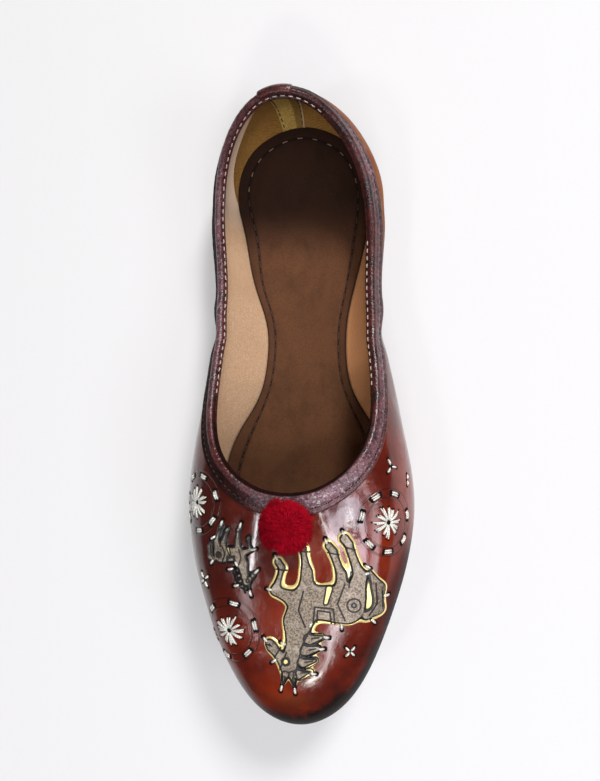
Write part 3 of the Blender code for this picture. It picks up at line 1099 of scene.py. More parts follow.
class BALLETFLAT_OT_lining(bpy.types.Operator):
    """Make the woven lining, the ochre heel lining and its stitched back strip"""

    bl_idname = "ballet_flat.lining"
    bl_label = "Lining"

    def execute(self, context):
        deep = in_mm("leather_thick") + 0.05
        thick = in_mm("lining_thick")
        points, uv = inner_cloth(ring_angles(240)[:, None], np.linspace(0.0, 0.99, 50)[None], deep)
        x, y = points[..., 0], points[..., 1]
        marks = {
            # Painted warm bounce light on the right side
            "painted_bounce": ramp(x, 0.0, 20.0),
            # Painted light at the back on the left
            "painted_light_left": 0.8 * ramp(x, -14.0, -20.0) * ramp(y, 70.0, 88.0),
        }
        cloth = woven_cloth("lining_cloth", "lining", "lining_shade", 0.42)
        make_piece("lining", cloth, points, uv, marks, wall=thick)
        self.make_patch("heel_lining", "counter", 180.0, (47.0, 10.5), deep + thick + 0.05)
        self.make_patch("back_strip", "strip", BACK_STRIP, (6.6, 6.4), deep + 2.0 * thick + 0.05)
        seams = []
        for side in (-STRIP_SEAM, STRIP_SEAM):
            angle = np.full(80, math.radians(BACK_STRIP + side))
            up = np.linspace(0.04, 0.90, 80)
            points = inner_face(angle, up, deep + 3.0 * thick + 0.1)
            seams.append(running_stitches(points, -leather(angle, up)[1], 3.0, 0.6, 0.26))
        thread = twisted_thread("dark_thread", "brown_thread", "brown_shade")
        sew("back_strip_stitches", thread, seams)
        return {"FINISHED"}

    def make_patch(self, name, tint, middle, halves, deep):
        """A patch at the back, from its middle and its half angles at foot and top.

        The half angle shrinks with a power of what is left of the height. The cloth is
        darker at its edge, and has painted shade under the binding's lip and on its right;
        the back strip has a painted highlight along its right edge.
        """
        across = np.linspace(-1.0, 1.0, 73)[:, None]
        up = np.linspace(0.0, 1.0, 35)[None]
        half = halves[1] + (halves[0] - halves[1]) * (1.0 - up) ** 1.6
        points, uv = inner_cloth(np.radians(middle + across * half), 0.96 * up, deep)
        # Painted shade under the binding's lip
        under_lip = ramp(up, 0.80, 0.94)
        marks = {}
        if name == "back_strip":
            # Painted shade on the strip's right, and a painted highlight along its right edge
            right = ramp(across, -0.15, -0.35)
            marks["painted_edge_highlight"] = bell(across, -0.93, 0.07) * (1.0 - under_lip)
        else:
            # Painted shade on the heel lining's right
            right = 0.8 * ramp(across, -0.10, -0.18) * ramp(up, 0.25, 0.55)
        dark = np.maximum(0.7 * ramp(abs(across), 0.96, 1.0), 0.8 * under_lip)
        marks["dark"] = np.maximum(dark, right)
        cloth = woven_cloth(name + "_cloth", tint, "counter_shade", 0.6)
        make_piece(name, cloth, points, uv, marks,
                   wall=in_mm("lining_thick"))


# Where pale sheen is painted on the binding: middle and spread in degrees from the toe,
# share, and the middle and spread of its distance over the rim
PAINTED_SHEEN = (
    (22.0, 30.0, 0.9, -1.6, 3.2), (345.0, 14.0, 0.8, -2.4, 2.6), (258.0, 26.0, 0.45, 0.4, 1.4),
    (80.0, 26.0, 0.45, -3.0, 1.8), (143.0, 18.0, 0.6, -2.6, 2.4), (218.0, 22.0, 0.3, 0.3, 1.5),
)


class BALLETFLAT_OT_binding(bpy.types.Operator):
    """Make the rolled topline binding, its two lines of stitches and the heel tab"""

    bl_idname = "ballet_flat.binding"
    bl_label = "Topline binding"

    def execute(self, context):
        self.make_strip()
        outer = twisted_thread("outer_thread", "outer_thread", "outer_shade", roughness=0.55)
        inner = twisted_thread("cream_thread", "cream_thread", "cream_shade")
        self.sew_line("outer_stitches", outer, ((0.0, 360.0),), 0.62, 0.50, 0.42)
        self.sew_line("inner_stitches", inner, ((77.0, 114.0), (157.0, 284.0)), 0.70, 0.62, 0.22)
        self.make_tab()
        return {"FINISHED"}

    def make_strip(self):
        """The strip along its contour, hollowed along both seams, with painted sheen in places and
        painted shade on the left, at the throat's lip and at the heel.
        """
        outside, inside = in_mm("binding_outside"), in_mm("binding_inside")
        angle = ring_angles(900)[:, None]
        degrees = np.degrees(angle)
        roll = over_rim(angle, 0.0, BINDING_GAP)[2]
        outer = np.concatenate([[0.0, 0.12, 0.35, 0.7], np.linspace(1.1, outside - 0.6, 16)])
        inner = np.linspace(0.3, inside - 0.6, 6)
        inner = np.concatenate([inner, [inside - 0.4, inside - 0.15, inside]])
        walk = np.concatenate([
            0.0 * roll + outer - outside, roll * np.linspace(0.0, 1.0, 11), roll + inner,
        ], axis=1)
        points, normals, _ = over_rim(angle, walk, BINDING_GAP)
        throat = 1.0 - heelward(points)
        run = np.linspace(0.0, 1.0, len(angle))[:, None]
        rim_length = np.linalg.norm(np.diff(points[:, len(outer)], axis=0), axis=-1).sum()
        stitch_count = round(rim_length / in_mm("outer_pitch"))
        pull = 0.9 + 0.1 * np.cos(2.0 * math.pi * run * stitch_count)
        # Under the outer and the inner stitches, along a crease at the heel, and uneven
        hollow = (
            0.36 * pull * bell(walk, -in_mm("outer_line"), 0.9)
            + 0.40 * bell(walk, roll + in_mm("inner_line"), 0.7)
            + 0.24 * bell(walk, -1.3, 0.7) * (1.0 - throat)
            + 0.06 * np.sin(run * 530.0) * np.sin(run * 211.0 + 1.0)
        )
        edge = np.minimum(walk + outside, roll + inside - walk)
        thick = in_mm("binding_thick") * np.sqrt(np.clip(edge / 0.5, 0.0, 1.0)) * (1.0 - hollow)
        # Painted shade on the left of the outer skirt, under the lip round the throat and at the
        # heel
        left = ramp(walk, -0.3, -1.3) * smooth_step(-1.5 * np.sin(angle))
        lip = ramp(walk / roll, 0.62, 0.82) * throat
        shaded = np.maximum(np.maximum(left, lip), 0.7 * bell(degrees, 168.0, 20.0))
        # Painted sheen in pale patches, none where shade is painted
        pale_share = sum(
            share * bell((degrees - middle + 180.0) % 360.0, 180.0, spread) * bell(walk, at, reach)
            for middle, spread, share, at, reach in PAINTED_SHEEN
        )
        marks = {
            name: np.concatenate([number, number[:, ::-1], number[:, :1]], axis=1)
            for name, number in (("pale_share", np.clip(pale_share, 0.0, 1.0) * (1.0 - shaded)),
                                 ("shaded", shaded))
        }
        make_piece(
            "topline_binding_leather", binding_leather(), slab(points, normals, thick),
            marks=marks, stands_for=("topline_binding",),
        )

    def sew_line(self, name, thread, spans, fill, height, hole):
        """A line of stitches outside the rim or past the roll, over spans of degrees.

        fill is the share of the pitch that is thread, height a share of the binding's
        thickness, and hole the radius of the needle holes.
        """
        outer = name == "outer_stitches"
        pitch = in_mm("outer_pitch" if outer else "inner_pitch")
        seams = []
        for span in spans:
            angle = np.radians(np.linspace(*span, 700))
            roll = over_rim(angle, 0.0, BINDING_GAP)[2]
            walk = 0.0 * roll - in_mm("outer_line") if outer else roll + in_mm("inner_line")
            points, normals, _ = over_rim(angle, walk, BINDING_GAP)
            points = points + normals * in_mm("binding_thick") * height
            seam = running_stitches(points, normals, pitch, fill, in_mm("thread_radius"))
            seams.append((*seam, hole))
        sew(name, thread, seams, name + "_holes")

    def make_tab(self):
        """A leather patch over the binding at the back seam, with rounded edges."""
        clearance = BINDING_GAP + in_mm("binding_thick") + 0.05
        share = np.linspace(-1.0, 1.0, 49)[:, None]
        angle = math.radians(TAB_MIDDLE) + in_mm("tab_width") / 2.0 / HEEL_RADIUS * share
        roll = over_rim(angle, 0.0, clearance)[2]
        step = np.linspace(-TAB_DROP, 2.0, 44)[None]
        walk = np.where(step > 0.0, step / 2.0 * roll, step)
        points, normals, _ = over_rim(angle, walk, clearance)
        ends = np.clip((1.0 - np.abs(share)) / 0.10, 0.0, 1.0)
        edges = np.clip(np.minimum(walk - walk.min(), walk.max() - walk) / 0.9, 0.0, 1.0)
        thick = in_mm("tab_thick") * np.sqrt(ends * edges) * (1.0 - 0.12 * share ** 2)
        make_piece("heel_tab", binding_leather(), slab(points, normals, thick))


def inner_outline(angle, height):
    """Where the lining's inner face passes a height over the sole, by bisection."""
    low, high = np.zeros(angle.shape), np.full(angle.shape, 0.5)
    for _ in range(30):
        rise = (low + high) / 2.0
        x, y, z = np.moveaxis(inner_face(angle, rise, SHOWN_WALL + 0.2), -1, 0)
        under = z < sole_top(y + TOE_TO_ORIGIN) + height
        low, high = np.where(under, rise, low), np.where(under, high, rise)
    return x, y + TOE_TO_ORIGIN


def insole_bottom(along):
    """Height of the insole's underside."""
    return sole_top(along) + SEAT


def insole_top(along):
    """Height of the suede, with the shallow hollows that ball and heel have pressed."""
    hollow = 0.5 * bell(along, 84.0, 22.0) + 0.5 * bell(along, 216.0, 17.0)
    return insole_bottom(along) + INSOLE_THICK + SUEDE_NAP - hollow


class BALLETFLAT_OT_insole(bpy.types.Operator):
    """Make the suede insole with its stitched border"""

    bl_idname = "ballet_flat.insole"
    bl_label = "Insole"

    def execute(self, context):
        line = in_mm("insole_line")
        outline = inner_outline(ring_angles(480)[:-1], SEAT + INSOLE_THICK)
        # The border's width: narrow at the waist, wider at the heel and most in front
        behind, ahead = ramp(outline[1], 165.0, 195.0), ramp(outline[1], 128.0, 104.0)
        border = 0.68 + 0.42 * behind + 0.62 * ahead
        # Inwards and down from the top: the cut edge, the groove under the stitches
        # and the flat middle
        steps = (
            (0.0, 2.2), (0.0, 0.9), (0.15, 0.35), (0.5, 0.12), (1.2, 0.0), (2.4, 0.0),
            (line - 1.1, 0.05), (line - 0.5, 0.22), (line, GROOVE), (line + 0.5, 0.22),
            (line + 1.1, 0.05), (line + 2.5, 0.0), (9.0, 0.0), (11.0, 0.0),
        )
        profile = [(None, 0.0, 0.0), (0.6, 0.0, 0.0)]
        profile += [(inward * border, 1.0, -down) for inward, down in steps]
        profile += [(None, 1.0, 0.0)]
        points = plate(outline, (34.0, 224.0), insole_bottom, insole_top, profile)
        marks = {
            "inward": np.array([16.0, 0.6, *(inward for inward, down in steps), 30.0]),
            # Painted shade towards the heel
            "heel": ramp(points[..., 1] + TOE_TO_ORIGIN, 180.0, 210.0),
        }
        make_piece("insole_suede", insole_suede(), points, marks=marks,
                   stands_for=("insole",))
        x, y = inset(*outline, line * border)
        path = np.stack([x, y - TOE_TO_ORIGIN, insole_top(y) - GROOVE], -1)
        heel = np.flatnonzero(y > 214.0)
        front = np.roll(np.arange(len(y)), -heel[-1])[: len(y) - len(heel) + 2]
        runs = (
            ("insole_stitches", front, in_mm("insole_pitch"), 0.70, "brown_thread", "brown_shade"),
            ("insole_heel_stitches", heel, 7.0, 0.42, "cream_shade", "brown_thread"),
        )
        for name, run, pitch, fill, tint, shade in runs:
            seam = (*running_stitches(path[run], UPRIGHT, pitch, fill, 0.30), 0.42)
            thread = twisted_thread(name + "_thread", tint, shade, roughness=0.7)
            sew(name, thread, [seam], name + "_holes", 0.12)
        return {"FINISHED"}


def rounded_plate(rounding, bulge):
    """Profile steps of a plate whose side has rounded corners.

    A corner is a quarter circle, and the side between the corners bulges by half a
    sine wave.
    """
    turn = np.linspace(0.0, math.pi / 2.0, 5)
    below = [(inward, 0.0, 0.0) for inward in (None, 12.0, 6.0, 3.0, 1.5)]
    below += [(rounding * (1.0 - math.sin(t)), 0.0, rounding * (1.0 - math.cos(t))) for t in turn]
    side = [(-bulge * math.sin(math.pi * share), share, rounding * (1.0 - 2.0 * share))
            for share in np.linspace(0.1, 0.9, 9)]
    return below + side + [(inward, 1.0, -up) for inward, _, up in below[::-1]]


def lift_top(along):
    """Height of the heel lift's top, just under the sole."""
    return sole_bottom(along) - SEAT


class BALLETFLAT_OT_sole(bpy.types.Operator):
    """Make the thin outsole and the flat heel lift"""

    bl_idname = "ballet_flat.sole"
    bl_label = "Sole and heel lift"

    def execute(self, context):
        rubber = sole_rubber()
        outline = plan(SOLE_RING, ring_angles(420)[:-1])
        self.make_rubber(rubber, "outsole", outline, 34.0, sole_bottom, sole_top, 0.7, 0.15)
        self.make_welt()
        across, along = inset(*outline, LIFT_INSET)
        behind = along > LIFT_FRONT
        one_side = len(along) // 2
        corner = np.interp(LIFT_FRONT, along[:one_side], across[:one_side])
        straight = np.linspace(-corner, corner, 41)
        outline = (
            np.concatenate([across[behind], straight]),
            np.concatenate([along[behind], np.full(straight.shape, LIFT_FRONT)]),
        )
        self.make_rubber(rubber, "heel_lift", outline, 190.0, np.zeros_like, lift_top, 0.35, 0.05)
        return {"FINISHED"}

    def make_rubber(self, rubber, node, outline, spine_start, low, high, rounding, bulge):
        """A rubber plate, with its side and a lip low on its side marked; the lip carries a painted
        pale highlight.
        """
        profile = rounded_plate(rounding, bulge)
        points = plate(outline, (spine_start, 226.0), low, high, profile)
        step = np.arange(len(profile))
        marks = {"side": (step > 5) & (step < 23), "lip": step == 12}
        make_piece(node + "_rubber", rubber, points, marks=marks,
                   stands_for=(node,))

    def make_welt(self):
        """A thin bead in the joint between the upper's edge and the sole."""
        across, along = inset(*plan(RINGS["feather"], ring_angles(420)[:-1]), 0.1)
        path = np.stack([across, along - TOE_TO_ORIGIN, sole_top(along) + SEAT / 2.0], -1)
        showing = np.clip(bell(along, 134.0, 9.0) + ramp(along, 200.0, 220.0), 0.0, 1.0)
        showing = showing * np.where(across < 0.0, 1.0, 0.8)
        path, showing = (np.concatenate([each, each[:1]]) for each in (path, showing))
        bead = tube(path, UPRIGHT, 0.55)
        make_piece("welt_line", welt_line(), bead, marks={"showing": showing[:, None]})


class BALLETFLAT_OT_pompom(bpy.types.Operator):
    """Make the wool pompom in front of the throat"""

    bl_idname = "ballet_flat.pompom"
    bl_label = "Pompom"

    def execute(self, context):
        low, high = (np.array(corner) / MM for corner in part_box("pompom"))
        middle = (low + high) / 2.0
        size = np.array([high[0] - low[0], high[0] - low[0], POMPOM_HIGH]) / 2.0
        tilt = np.array(Matrix.Rotation(math.radians(POMPOM_TILT), 3, "X")).T
        path, sway, marks = self.comb_wool()
        path = (path * size) @ tilt + middle
        path[..., 2] = np.maximum(path[..., 2], low[2] - 0.2)
        thin = in_mm("wool_radius") * np.array([0.0, 1.0, 1.0, 0.0])
        strands = tube(path, sway, np.broadcast_to(thin, path.shape[:2]), sides=3)
        make_piece("pompom_wool", pompom_wool(), strands, marks=marks,
                   stands_for=("pompom",))
        polar = np.linspace(0.0, math.pi, 17)[:, None]
        around = np.linspace(0.0, 2.0 * math.pi, 33)[None]
        ball = np.stack(np.broadcast_arrays(np.sin(polar) * np.cos(around),
                                            np.sin(polar) * np.sin(around), np.cos(polar)), -1)
        # The core takes a middling painted shade
        make_piece("pompom_core", pompom_wool(), (ball * size * POMPOM_CORE) @ tilt + middle,
                   marks={"depth": 0.62, "strand": 0.5})
        return {"FINISHED"}

    def comb_wool(self):
        """Paths of the strands in a ball of radius one, with their sway and marks.

        A strand leaves the middle in its own direction and turns towards its tuft's,
        and sways aside, both with the square of the share of its way.
        """
        count = bpy.context.scene.ballet_flat_sizes.wool_count
        chance = np.random.default_rng(7)
        direction = unit(chance.normal(size=(count, 3)))
        tufts = unit(chance.normal(size=(POMPOM_TUFTS, 3)))
        tuft = np.argmax(direction @ tufts.T, axis=1)
        tip = unit(direction * 0.55 + tufts[tuft] * 0.45)
        reach = chance.uniform(0.86, 1.08, POMPOM_TUFTS)[tuft] * chance.uniform(0.90, 1.02, count)
        sway = unit(np.cross(direction, chance.normal(size=direction.shape)))
        bow = sway * chance.uniform(0.0, 0.22, count)[:, None]
        shade = chance.uniform(0.0, 1.0, POMPOM_TUFTS)[tuft] + chance.uniform(0.0, 1.0, count)
        share = np.linspace(0.45, 1.0, 4)[:, None]
        turned = direction[:, None] * (1.0 - share ** 2) + tip[:, None] * share ** 2
        path = turned * share * reach[:, None, None] + bow[:, None] * share ** 2
        return path, sway[:, None], {"depth": share, "strand": 0.5 * shade[:, None, None]}


# Parts of a folk horse that stands on +b and faces +a, each a bar with round ends:
# a, b and radius at either end, and whether it is plain, has its outline engraved or
# is gilded
HORSE = (
    ("barrel", -9.0, -3.6, 7.4, 5.0, -4.2, 6.6, "plain"),
    ("chest", 5.0, -4.0, 6.8, 8.6, 3.0, 5.6, "plain"),
    ("neck", 8.6, 3.0, 5.4, 10.6, 13.5, 3.9, "plain"),
    ("poll", 10.6, 13.5, 3.9, 12.4, 18.6, 3.4, "plain"),
    ("head", 12.6, 18.6, 3.3, 18.2, 12.0, 2.1, "plain"),
    ("muzzle", 18.2, 12.0, 2.2, 19.2, 10.6, 2.0, "plain"),
    ("near_ear", 11.0, 22.0, 1.5, 10.6, 27.0, 0.4, "lined"),
    ("far_ear", 13.8, 21.8, 1.4, 15.2, 26.4, 0.4, "lined"),
    ("mane_top", 8.6, 21.6, 2.2, 4.6, 20.6, 1.2, "lined"),
    ("mane_high", 7.0, 17.4, 2.3, 2.8, 16.4, 1.3, "lined"),
    ("mane_mid", 5.8, 13.0, 2.3, 1.6, 12.0, 1.3, "lined"),
    ("mane_low", 4.4, 8.8, 2.3, 0.2, 8.0, 1.3, "lined"),
    ("thigh", -11.6, -7.0, 5.0, -13.8, -14.0, 2.9, "plain"),
    ("cannon", -13.8, -14.0, 2.7, -11.0, -23.0, 1.9, "plain"),
    ("hoof", -10.4, -25.4, 2.0, -8.8, -27.4, 2.3, "plain"),
    ("far_thigh", -7.6, -8.0, 4.2, -7.4, -14.4, 2.5, "plain"),
    ("far_cannon", -7.4, -14.4, 2.3, -4.8, -21.4, 1.8, "plain"),
    ("far_hoof", -4.4, -23.0, 1.9, -3.0, -24.8, 2.1, "plain"),
    ("forearm", 5.6, -8.6, 3.8, 5.2, -15.4, 2.4, "plain"),
    ("fore_cannon", 5.2, -15.4, 2.3, 6.0, -22.4, 1.8, "plain"),
    ("fore_hoof", 6.2, -24.2, 1.9, 7.8, -26.2, 2.2, "plain"),
    ("raised_arm", 9.2, -5.4, 3.9, 16.6, -8.4, 2.4, "plain"),
    ("raised_cannon", 16.6, -8.4, 2.2, 14.4, -15.8, 1.7, "plain"),
    ("raised_hoof", 14.2, -17.0, 1.8, 15.6, -18.8, 2.0, "plain"),
    ("tail_root", -16.0, 0.6, 2.5, -19.8, -1.4, 2.7, "plain"),
    ("tail_fall", -19.8, -1.4, 2.7, -20.4, -9.0, 2.6, "plain"),
    ("tail_tip", -20.4, -9.0, 2.5, -17.6, -15.4, 1.0, "plain"),
    ("girth", -1.6, -4.4, 0.8, -3.0, -9.4, 1.2, "gilt"),
    ("cheek", 13.4, 17.0, 1.0, 13.5, 17.1, 1.0, "gilt"),
)
# Lines engraved in its face, each from a, b to a, b
HORSE_LINES = (
    (6.0, 4.4, 8.4, -1.6), (8.4, -1.6, 6.4, -8.4), (-8.4, 2.0, -5.8, -4.0),
    (-5.8, -4.0, -8.6, -11.0), (-4.8, 4.4, -4.2, -2.2), (-4.2, -2.2, 2.4, -2.8),
    (2.4, -2.8, 3.2, 3.4), (-3.4, 3.2, -3.0, -1.0), (-3.0, -1.0, 1.4, -1.6),
    (1.4, -1.6, 1.8, 2.8), (10.0, 21.8, 8.8, 16.4), (8.8, 16.4, 7.2, 10.8),
    (7.2, 10.8, 4.4, 5.6), (8.0, 20.9, 5.4, 20.6), (6.4, 17.0, 3.6, 16.5),
    (5.0, 12.6, 2.4, 12.1), (3.8, 8.5, 1.2, 8.1), (15.8, 20.2, 13.0, 13.6),
    (17.6, 15.8, 15.2, 12.0), (20.8, 10.9, 18.6, 11.6), (-12.6, -23.2, -8.6, -24.4),
    (-6.8, -21.6, -2.6, -22.4), (3.8, -22.6, 8.4, -23.0), (12.2, -15.8, 16.4, -16.2),
    (-16.8, 0.4, -19.6, -3.6), (-19.6, -3.6, -19.4, -11.0), (-21.4, -2.0, -21.6, -8.0),
    (-10.0, -10.0, -10.8, -15.4), (14.0, 24.8, 13.8, 22.4), (10.8, 25.4, 11.0, 22.6),
)
# Round marks engraved inside it: a, b and radius
HORSE_DOTS = ((13.4, 17.0, 1.5), (19.3, 11.2, 0.3), (-11.6, -3.4, 2.4), (-11.6, -3.4, 0.8))
HORSE_REACH = 31.5           # half the side of the square that the horse is drawn in
HORSE_STEP = 0.28            # spacing of the grid that it is cut out of
# Silver tacks that hold it down: a, b and direction in degrees
HORSE_TACKS = (
    (20.8, 9.4, -45), (17.8, 17.0, 35), (15.4, 27.0, 75), (10.4, 27.8, 95), (3.6, 21.2, 170),
    (0.4, 12.2, 180), (-1.4, 8.0, 170), (14.2, 10.6, -20), (19.0, -8.8, -10), (16.2, -20.4, -60),
    (8.4, -28.0, -70), (-2.2, -26.4, -70), (-8.4, -29.2, -70), (-16.4, -14.6, 190),
    (-16.8, -17.0, -30), (-23.0, -6.0, 180), (-18.2, 3.0, 130), (-7.0, 4.2, 95), (4.0, 3.6, 60),
)


# The horses: place, scale, width and colour of the cut edge, and the tacks that hold
# them, all or every second one
CUT_OUTS = (("big_horse", 1.0, 0.80, "cut_edge", 1), ("small_horse", 0.45, 0.30, "ink", 2))


def bar_depth(a, b, start_a, start_b, start_radius, end_a, end_b, end_radius):
    """How deep points lie inside a bar whose radius changes from end to end."""
    run_a, run_b = end_a - start_a, end_b - start_b
    share = ((a - start_a) * run_a + (b - start_b) * run_b) / (run_a ** 2 + run_b ** 2)
    share = np.clip(share, 0.0, 1.0)
    away = np.hypot(a - start_a - share * run_a, b - start_b - share * run_b)
    return start_radius + (end_radius - start_radius) * share - away


def draw_horse(a, b):
    """Depth inside the whole horse, inside its gilding, and distance to engraved lines.

    The bars are joined by a soft maximum, the logarithm of a sum of exponentials.
    """
    blend = 0.7
    depths = np.stack([bar_depth(a, b, *bar[1:-1]) for bar in HORSE])
    inside = blend * np.log(np.exp(np.clip(depths, -12.0, 12.0) / blend).sum(0))
    gilt = np.max([depths[k] for k, bar in enumerate(HORSE) if bar[-1] == "gilt"], axis=0)
    scored = [np.abs(depths[k]) for k, bar in enumerate(HORSE) if bar[-1] != "plain"]
    scored += [-bar_depth(a, b, *line[:2], 0.0, *line[2:], 0.0) for line in HORSE_LINES]
    scored += [np.abs(np.hypot(a - x, b - y) - radius) for x, y, radius in HORSE_DOTS]
    return inside, gilt, np.min(scored, axis=0)


class BALLETFLAT_OT_horses(bpy.types.Operator):
    """Make the two horses, cut out of foil leather with engraved lines"""

    bl_idname = "ballet_flat.horses"
    bl_label = "Foil horses"

    def execute(self, context):
        for place, scale, rim, edge_colour, _ in CUT_OUTS:
            size = np.arange(-HORSE_REACH * scale, HORSE_REACH * scale, HORSE_STEP)
            flip = PLACES[place][3]
            a, b = (grid[::flip] for grid in np.meshgrid(size, size, indexing="ij"))
            inside, gilt, scored = (field * scale for field in draw_horse(a / scale, b / scale))
            points, normals = lay(place, a, b)
            within = inside - rim * (0.85 + 0.5 * np.sin(a * 0.31 + 1.0) * np.cos(b * 0.27))
            proud = 0.65 * ramp(inside, -0.35, 0.15) + 0.35 * ramp(within, 0.0, 0.4)
            height = in_mm("foil_thick") * proud - 0.25 * (inside < -0.3)
            marks = {"inside": within, "scored": scored, "gilt": gilt, "golden": scale == 1.0}
            make_piece(
                place, engraved_foil(place + "_foil", edge_colour),
                points + normals * height[..., None], marks=marks, keep=inside > -0.75,
                wall=0.35,
            )
        return {"FINISHED"}


def swing(flat, turn):
    """Flat points turned about the motif's middle."""
    a, b = flat[..., 0], flat[..., 1]
    return np.stack([a * np.cos(turn) - b * np.sin(turn), a * np.sin(turn) + b * np.cos(turn)], -1)


def spokes(count, inner, outer, phase):
    """Starts and ends of evenly turned spokes about a motif's middle."""
    turn = np.radians(phase) + np.arange(count) * 2.0 * math.pi / count
    return swing(np.array([inner, 0.0]), turn), swing(np.array([outer, 0.0]), turn)


def straight_stitches(place, starts, ends, radius, hole, lift=0.05):
    """Threads between flat points of a motif, a lift above the leather, and their holes."""
    share = np.linspace(0.0, 1.0, 9)
    flat = starts[:, None] + (ends - starts)[:, None] * share[:, None]
    path, normals = lay(place, flat[..., 0], flat[..., 1])
    return *stitches(path + normals * lift, normals, radius), hole


# Small motifs of a few spokes: place, count, inner and outer end, and first direction
SPRIGS = (
    ("sprig_three", 3, 0.5, 3.0, 90.0), ("sprig_cross", 4, 0.6, 3.2, 30.0),
    ("sprig_star", 4, 0.3, 2.5, 45.0), ("sprig_single", 2, 0.2, 2.2, 80.0),
)


class BALLETFLAT_OT_embroidery(bpy.types.Operator):
    """Sew the silver rosettes, their dashed rings, the sprigs and the horses' tacks"""

    bl_idname = "ballet_flat.embroidery"
    bl_label = "Silver embroidery"

    def execute(self, context):
        radius, hole = in_mm("silver_radius"), in_mm("hole_radius")
        chance = np.random.default_rng(11)
        sewn = []
        for place, dashes in ROSETTES.items():
            inner, outer = (np.repeat(flat, 2, axis=0) for flat in spokes(PETALS, 0.5, 6.3, 0.0))
            lean = np.repeat(chance.normal(0.0, 0.07, PETALS), 2)
            beside = np.tile((0.066, -0.066), PETALS) + chance.normal(0.0, 0.026, 2 * PETALS)
            outer = outer * (1.0 + chance.uniform(-0.20, 0.08, 2 * PETALS)[:, None])
            sewn.append(straight_stitches(place, swing(inner, lean), swing(outer, lean + beside),
                                          0.85 * radius, 0.38))
            turn = np.arange(dashes) + 0.3 + chance.uniform(-0.12, 0.12, dashes)
            turn = turn * 2.0 * math.pi / dashes
            for away in DASH_RINGS:
                dash = (swing(np.array([away, 0.0]), turn + half) for half in (-0.18, 0.18))
                sewn.append(straight_stitches(place, *dash, 0.9 * radius, hole))
        for place, *sprig in SPRIGS:
            sewn.append(straight_stitches(place, *spokes(*sprig), radius, hole))
        for place, scale, _, _, every in CUT_OUTS:
            tacks = np.array(HORSE_TACKS, dtype=float)[::every]
            middle = tacks[:, :2] * scale
            half = swing(np.array([1.25, 0.0]), np.radians(tacks[:, 2]))
            sewn.append(straight_stitches(place, middle - half, middle + half, 1.1 * radius,
                                          1.15 * hole, lift=0.35))
        silver = twisted_thread("silver_thread", "silver", "silver_shade", 0.35, 0.28)
        sew("silver_stitches", silver, sewn, "embroidery_holes", 0.18)
        return {"FINISHED"}


# ------------------------------------------------------------------------------- stage

# Soft boxes: azimuth from the heel's direction towards +x, elevation, distance and
# size in metres, power in watts and colour
SOFT_BOXES = (
    ("back_key", 30.0, 46.0, 2.0, (0.44, 0.44), 32.0, (1.0, 0.985, 0.96)),
    ("right_panel", 122.0, 63.5, 1.3, (0.42, 0.22), 3.1, (0.94, 0.89, 1.0)),
    ("side_panel", 112.0, 42.0, 1.4, (0.50, 0.46), 4.0, (0.94, 0.93, 1.0)),
    ("front_strip", 166.0, 60.0, 1.3, (0.045, 0.36), 1.3, (0.98, 0.98, 1.0)),
    ("throat_strip", 151.0, 68.5, 1.3, (0.24, 0.08), 1.9, (0.97, 0.96, 1.0)),
    ("toe_spot", 174.0, 49.0, 1.2, (0.17, 0.06), 2.1, (1.0, 0.97, 0.92)),
    ("left_strip", -131.0, 60.0, 1.3, (0.09, 0.15), 1.6, (0.98, 0.98, 1.0)),
    ("overhead", -80.0, 72.0, 1.3, (0.40, 0.40), 0.6, (1.0, 0.99, 0.97)),
)


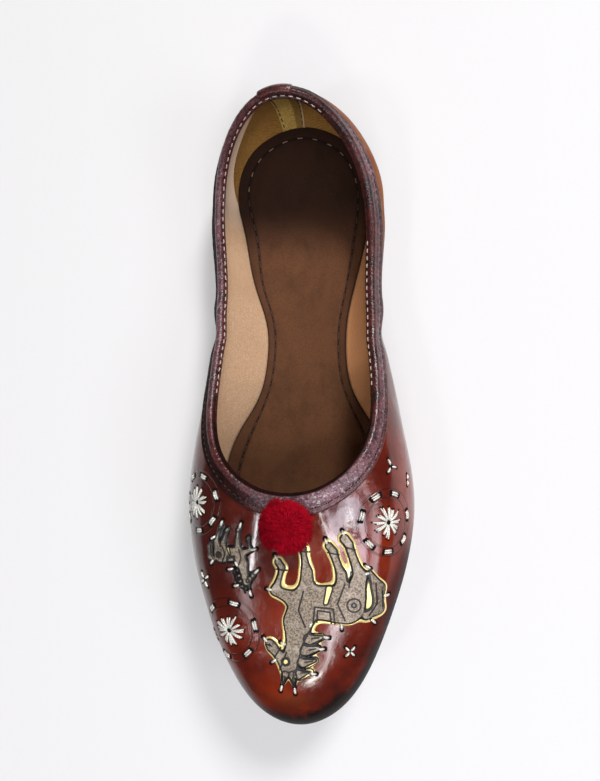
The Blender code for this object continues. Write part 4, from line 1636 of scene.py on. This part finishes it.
class BALLETFLAT_OT_stage(bpy.types.Operator):
    """Set the pale floor, the soft lights and the camera"""

    bl_idname = "ballet_flat.stage"
    bl_label = "Stage"

    def execute(self, context):
        scene = context.scene
        settings = scene.ballet_flat_stage
        self.make_floor()
        self.make_camera(scene, settings)
        for box in SOFT_BOXES:
            self.make_soft_box(*box)
        scene.world = bpy.data.worlds.new("pale_room")
        scene.world.use_nodes = True
        sky = scene.world.node_tree.nodes["Background"]
        sky.inputs["Color"].default_value = (1.0, 1.0, 1.0, 1.0)
        sky.inputs["Strength"].default_value = settings.daylight
        scene.view_settings.view_transform = "Standard"
        return {"FINISHED"}

    def make_floor(self):
        """A wide sheet of paper just under the sole."""
        half = 2.0
        mesh = bpy.data.meshes.new("floor")
        corners = [(-half, -half, 0.0), (half, -half, 0.0), (half, half, 0.0), (-half, half, 0.0)]
        mesh.from_pydata(corners, [], [(0, 1, 2, 3)])
        mesh.materials.append(pale_floor())
        floor = bpy.data.objects.new("floor", mesh)
        bpy.context.scene.collection.objects.link(floor)

    def make_camera(self, scene, settings):
        """A camera above the vamp that looks down with the heel at the top."""
        camera = bpy.data.objects.new("camera", bpy.data.cameras.new("camera"))
        camera.data.lens = settings.lens
        camera.data.clip_start = 0.01
        eye = Vector(settings.eye)
        ahead = (Vector(settings.aim) - eye).normalized()
        heel_up = Vector((math.sin(settings.roll), math.cos(settings.roll), 0.0))
        right = ahead.cross(heel_up).normalized()
        rotation = Matrix((right, right.cross(ahead), -ahead)).transposed()
        camera.matrix_world = Matrix.Translation(eye) @ rotation.to_4x4()
        scene.collection.objects.link(camera)
        scene.camera = camera

    def make_soft_box(self, name, azimuth, elevation, distance, size, power, tint):
        """A rectangular light that faces the shoe from a direction."""
        lamp = bpy.data.lights.new(name, "AREA")
        lamp.shape = "RECTANGLE"
        lamp.size, lamp.size_y = size
        lamp.energy = power
        lamp.color = tint
        around, up = math.radians(azimuth), math.radians(elevation)
        level = math.cos(up)
        direction = Vector((math.sin(around) * level, math.cos(around) * level, math.sin(up)))
        light = bpy.data.objects.new(name, lamp)
        light.location = direction * distance
        light.rotation_euler = direction.to_track_quat("Z", "Y").to_euler()
        bpy.context.scene.collection.objects.link(light)


GROUPS = {
    "ballet_flat_sizes": BALLETFLAT_PG_sizes,
    "ballet_flat_colours": BALLETFLAT_PG_colours,
    "ballet_flat_stage": BALLETFLAT_PG_stage,
}
OPERATORS = (
    BALLETFLAT_OT_stage,
    BALLETFLAT_OT_upper,
    BALLETFLAT_OT_lining,
    BALLETFLAT_OT_binding,
    BALLETFLAT_OT_insole,
    BALLETFLAT_OT_sole,
    BALLETFLAT_OT_pompom,
    BALLETFLAT_OT_horses,
    BALLETFLAT_OT_embroidery,
)


class BALLETFLAT_PT_panel(bpy.types.Panel):
    """Sizes, colours and pieces of the ballet flat"""

    bl_idname = "BALLETFLAT_PT_panel"
    bl_label = "Ballet flat"
    bl_space_type = "VIEW_3D"
    bl_region_type = "UI"
    bl_category = "Ballet flat"

    def draw(self, context):
        for operator in OPERATORS:
            self.layout.operator(operator.bl_idname)
        for group, kind in GROUPS.items():
            box = self.layout.box()
            for name in kind.__annotations__:
                box.prop(getattr(context.scene, group), name)


CLASSES = (*GROUPS.values(), *OPERATORS, BALLETFLAT_PT_panel)


def register():
    """Add the classes and the scene's settings."""
    for made in CLASSES:
        bpy.utils.register_class(made)
    for name, group in GROUPS.items():
        setattr(bpy.types.Scene, name, PointerProperty(type=group))


def unregister():
    """Remove the scene's settings and the classes."""
    for name in GROUPS:
        delattr(bpy.types.Scene, name)
    for made in reversed(CLASSES):
        bpy.utils.unregister_class(made)


def main():
    """Build every piece in order."""
    register()
    for operator in OPERATORS:
        getattr(bpy.ops.ballet_flat, operator.bl_idname.split(".")[1])()


if __name__ == "__main__":
    main()
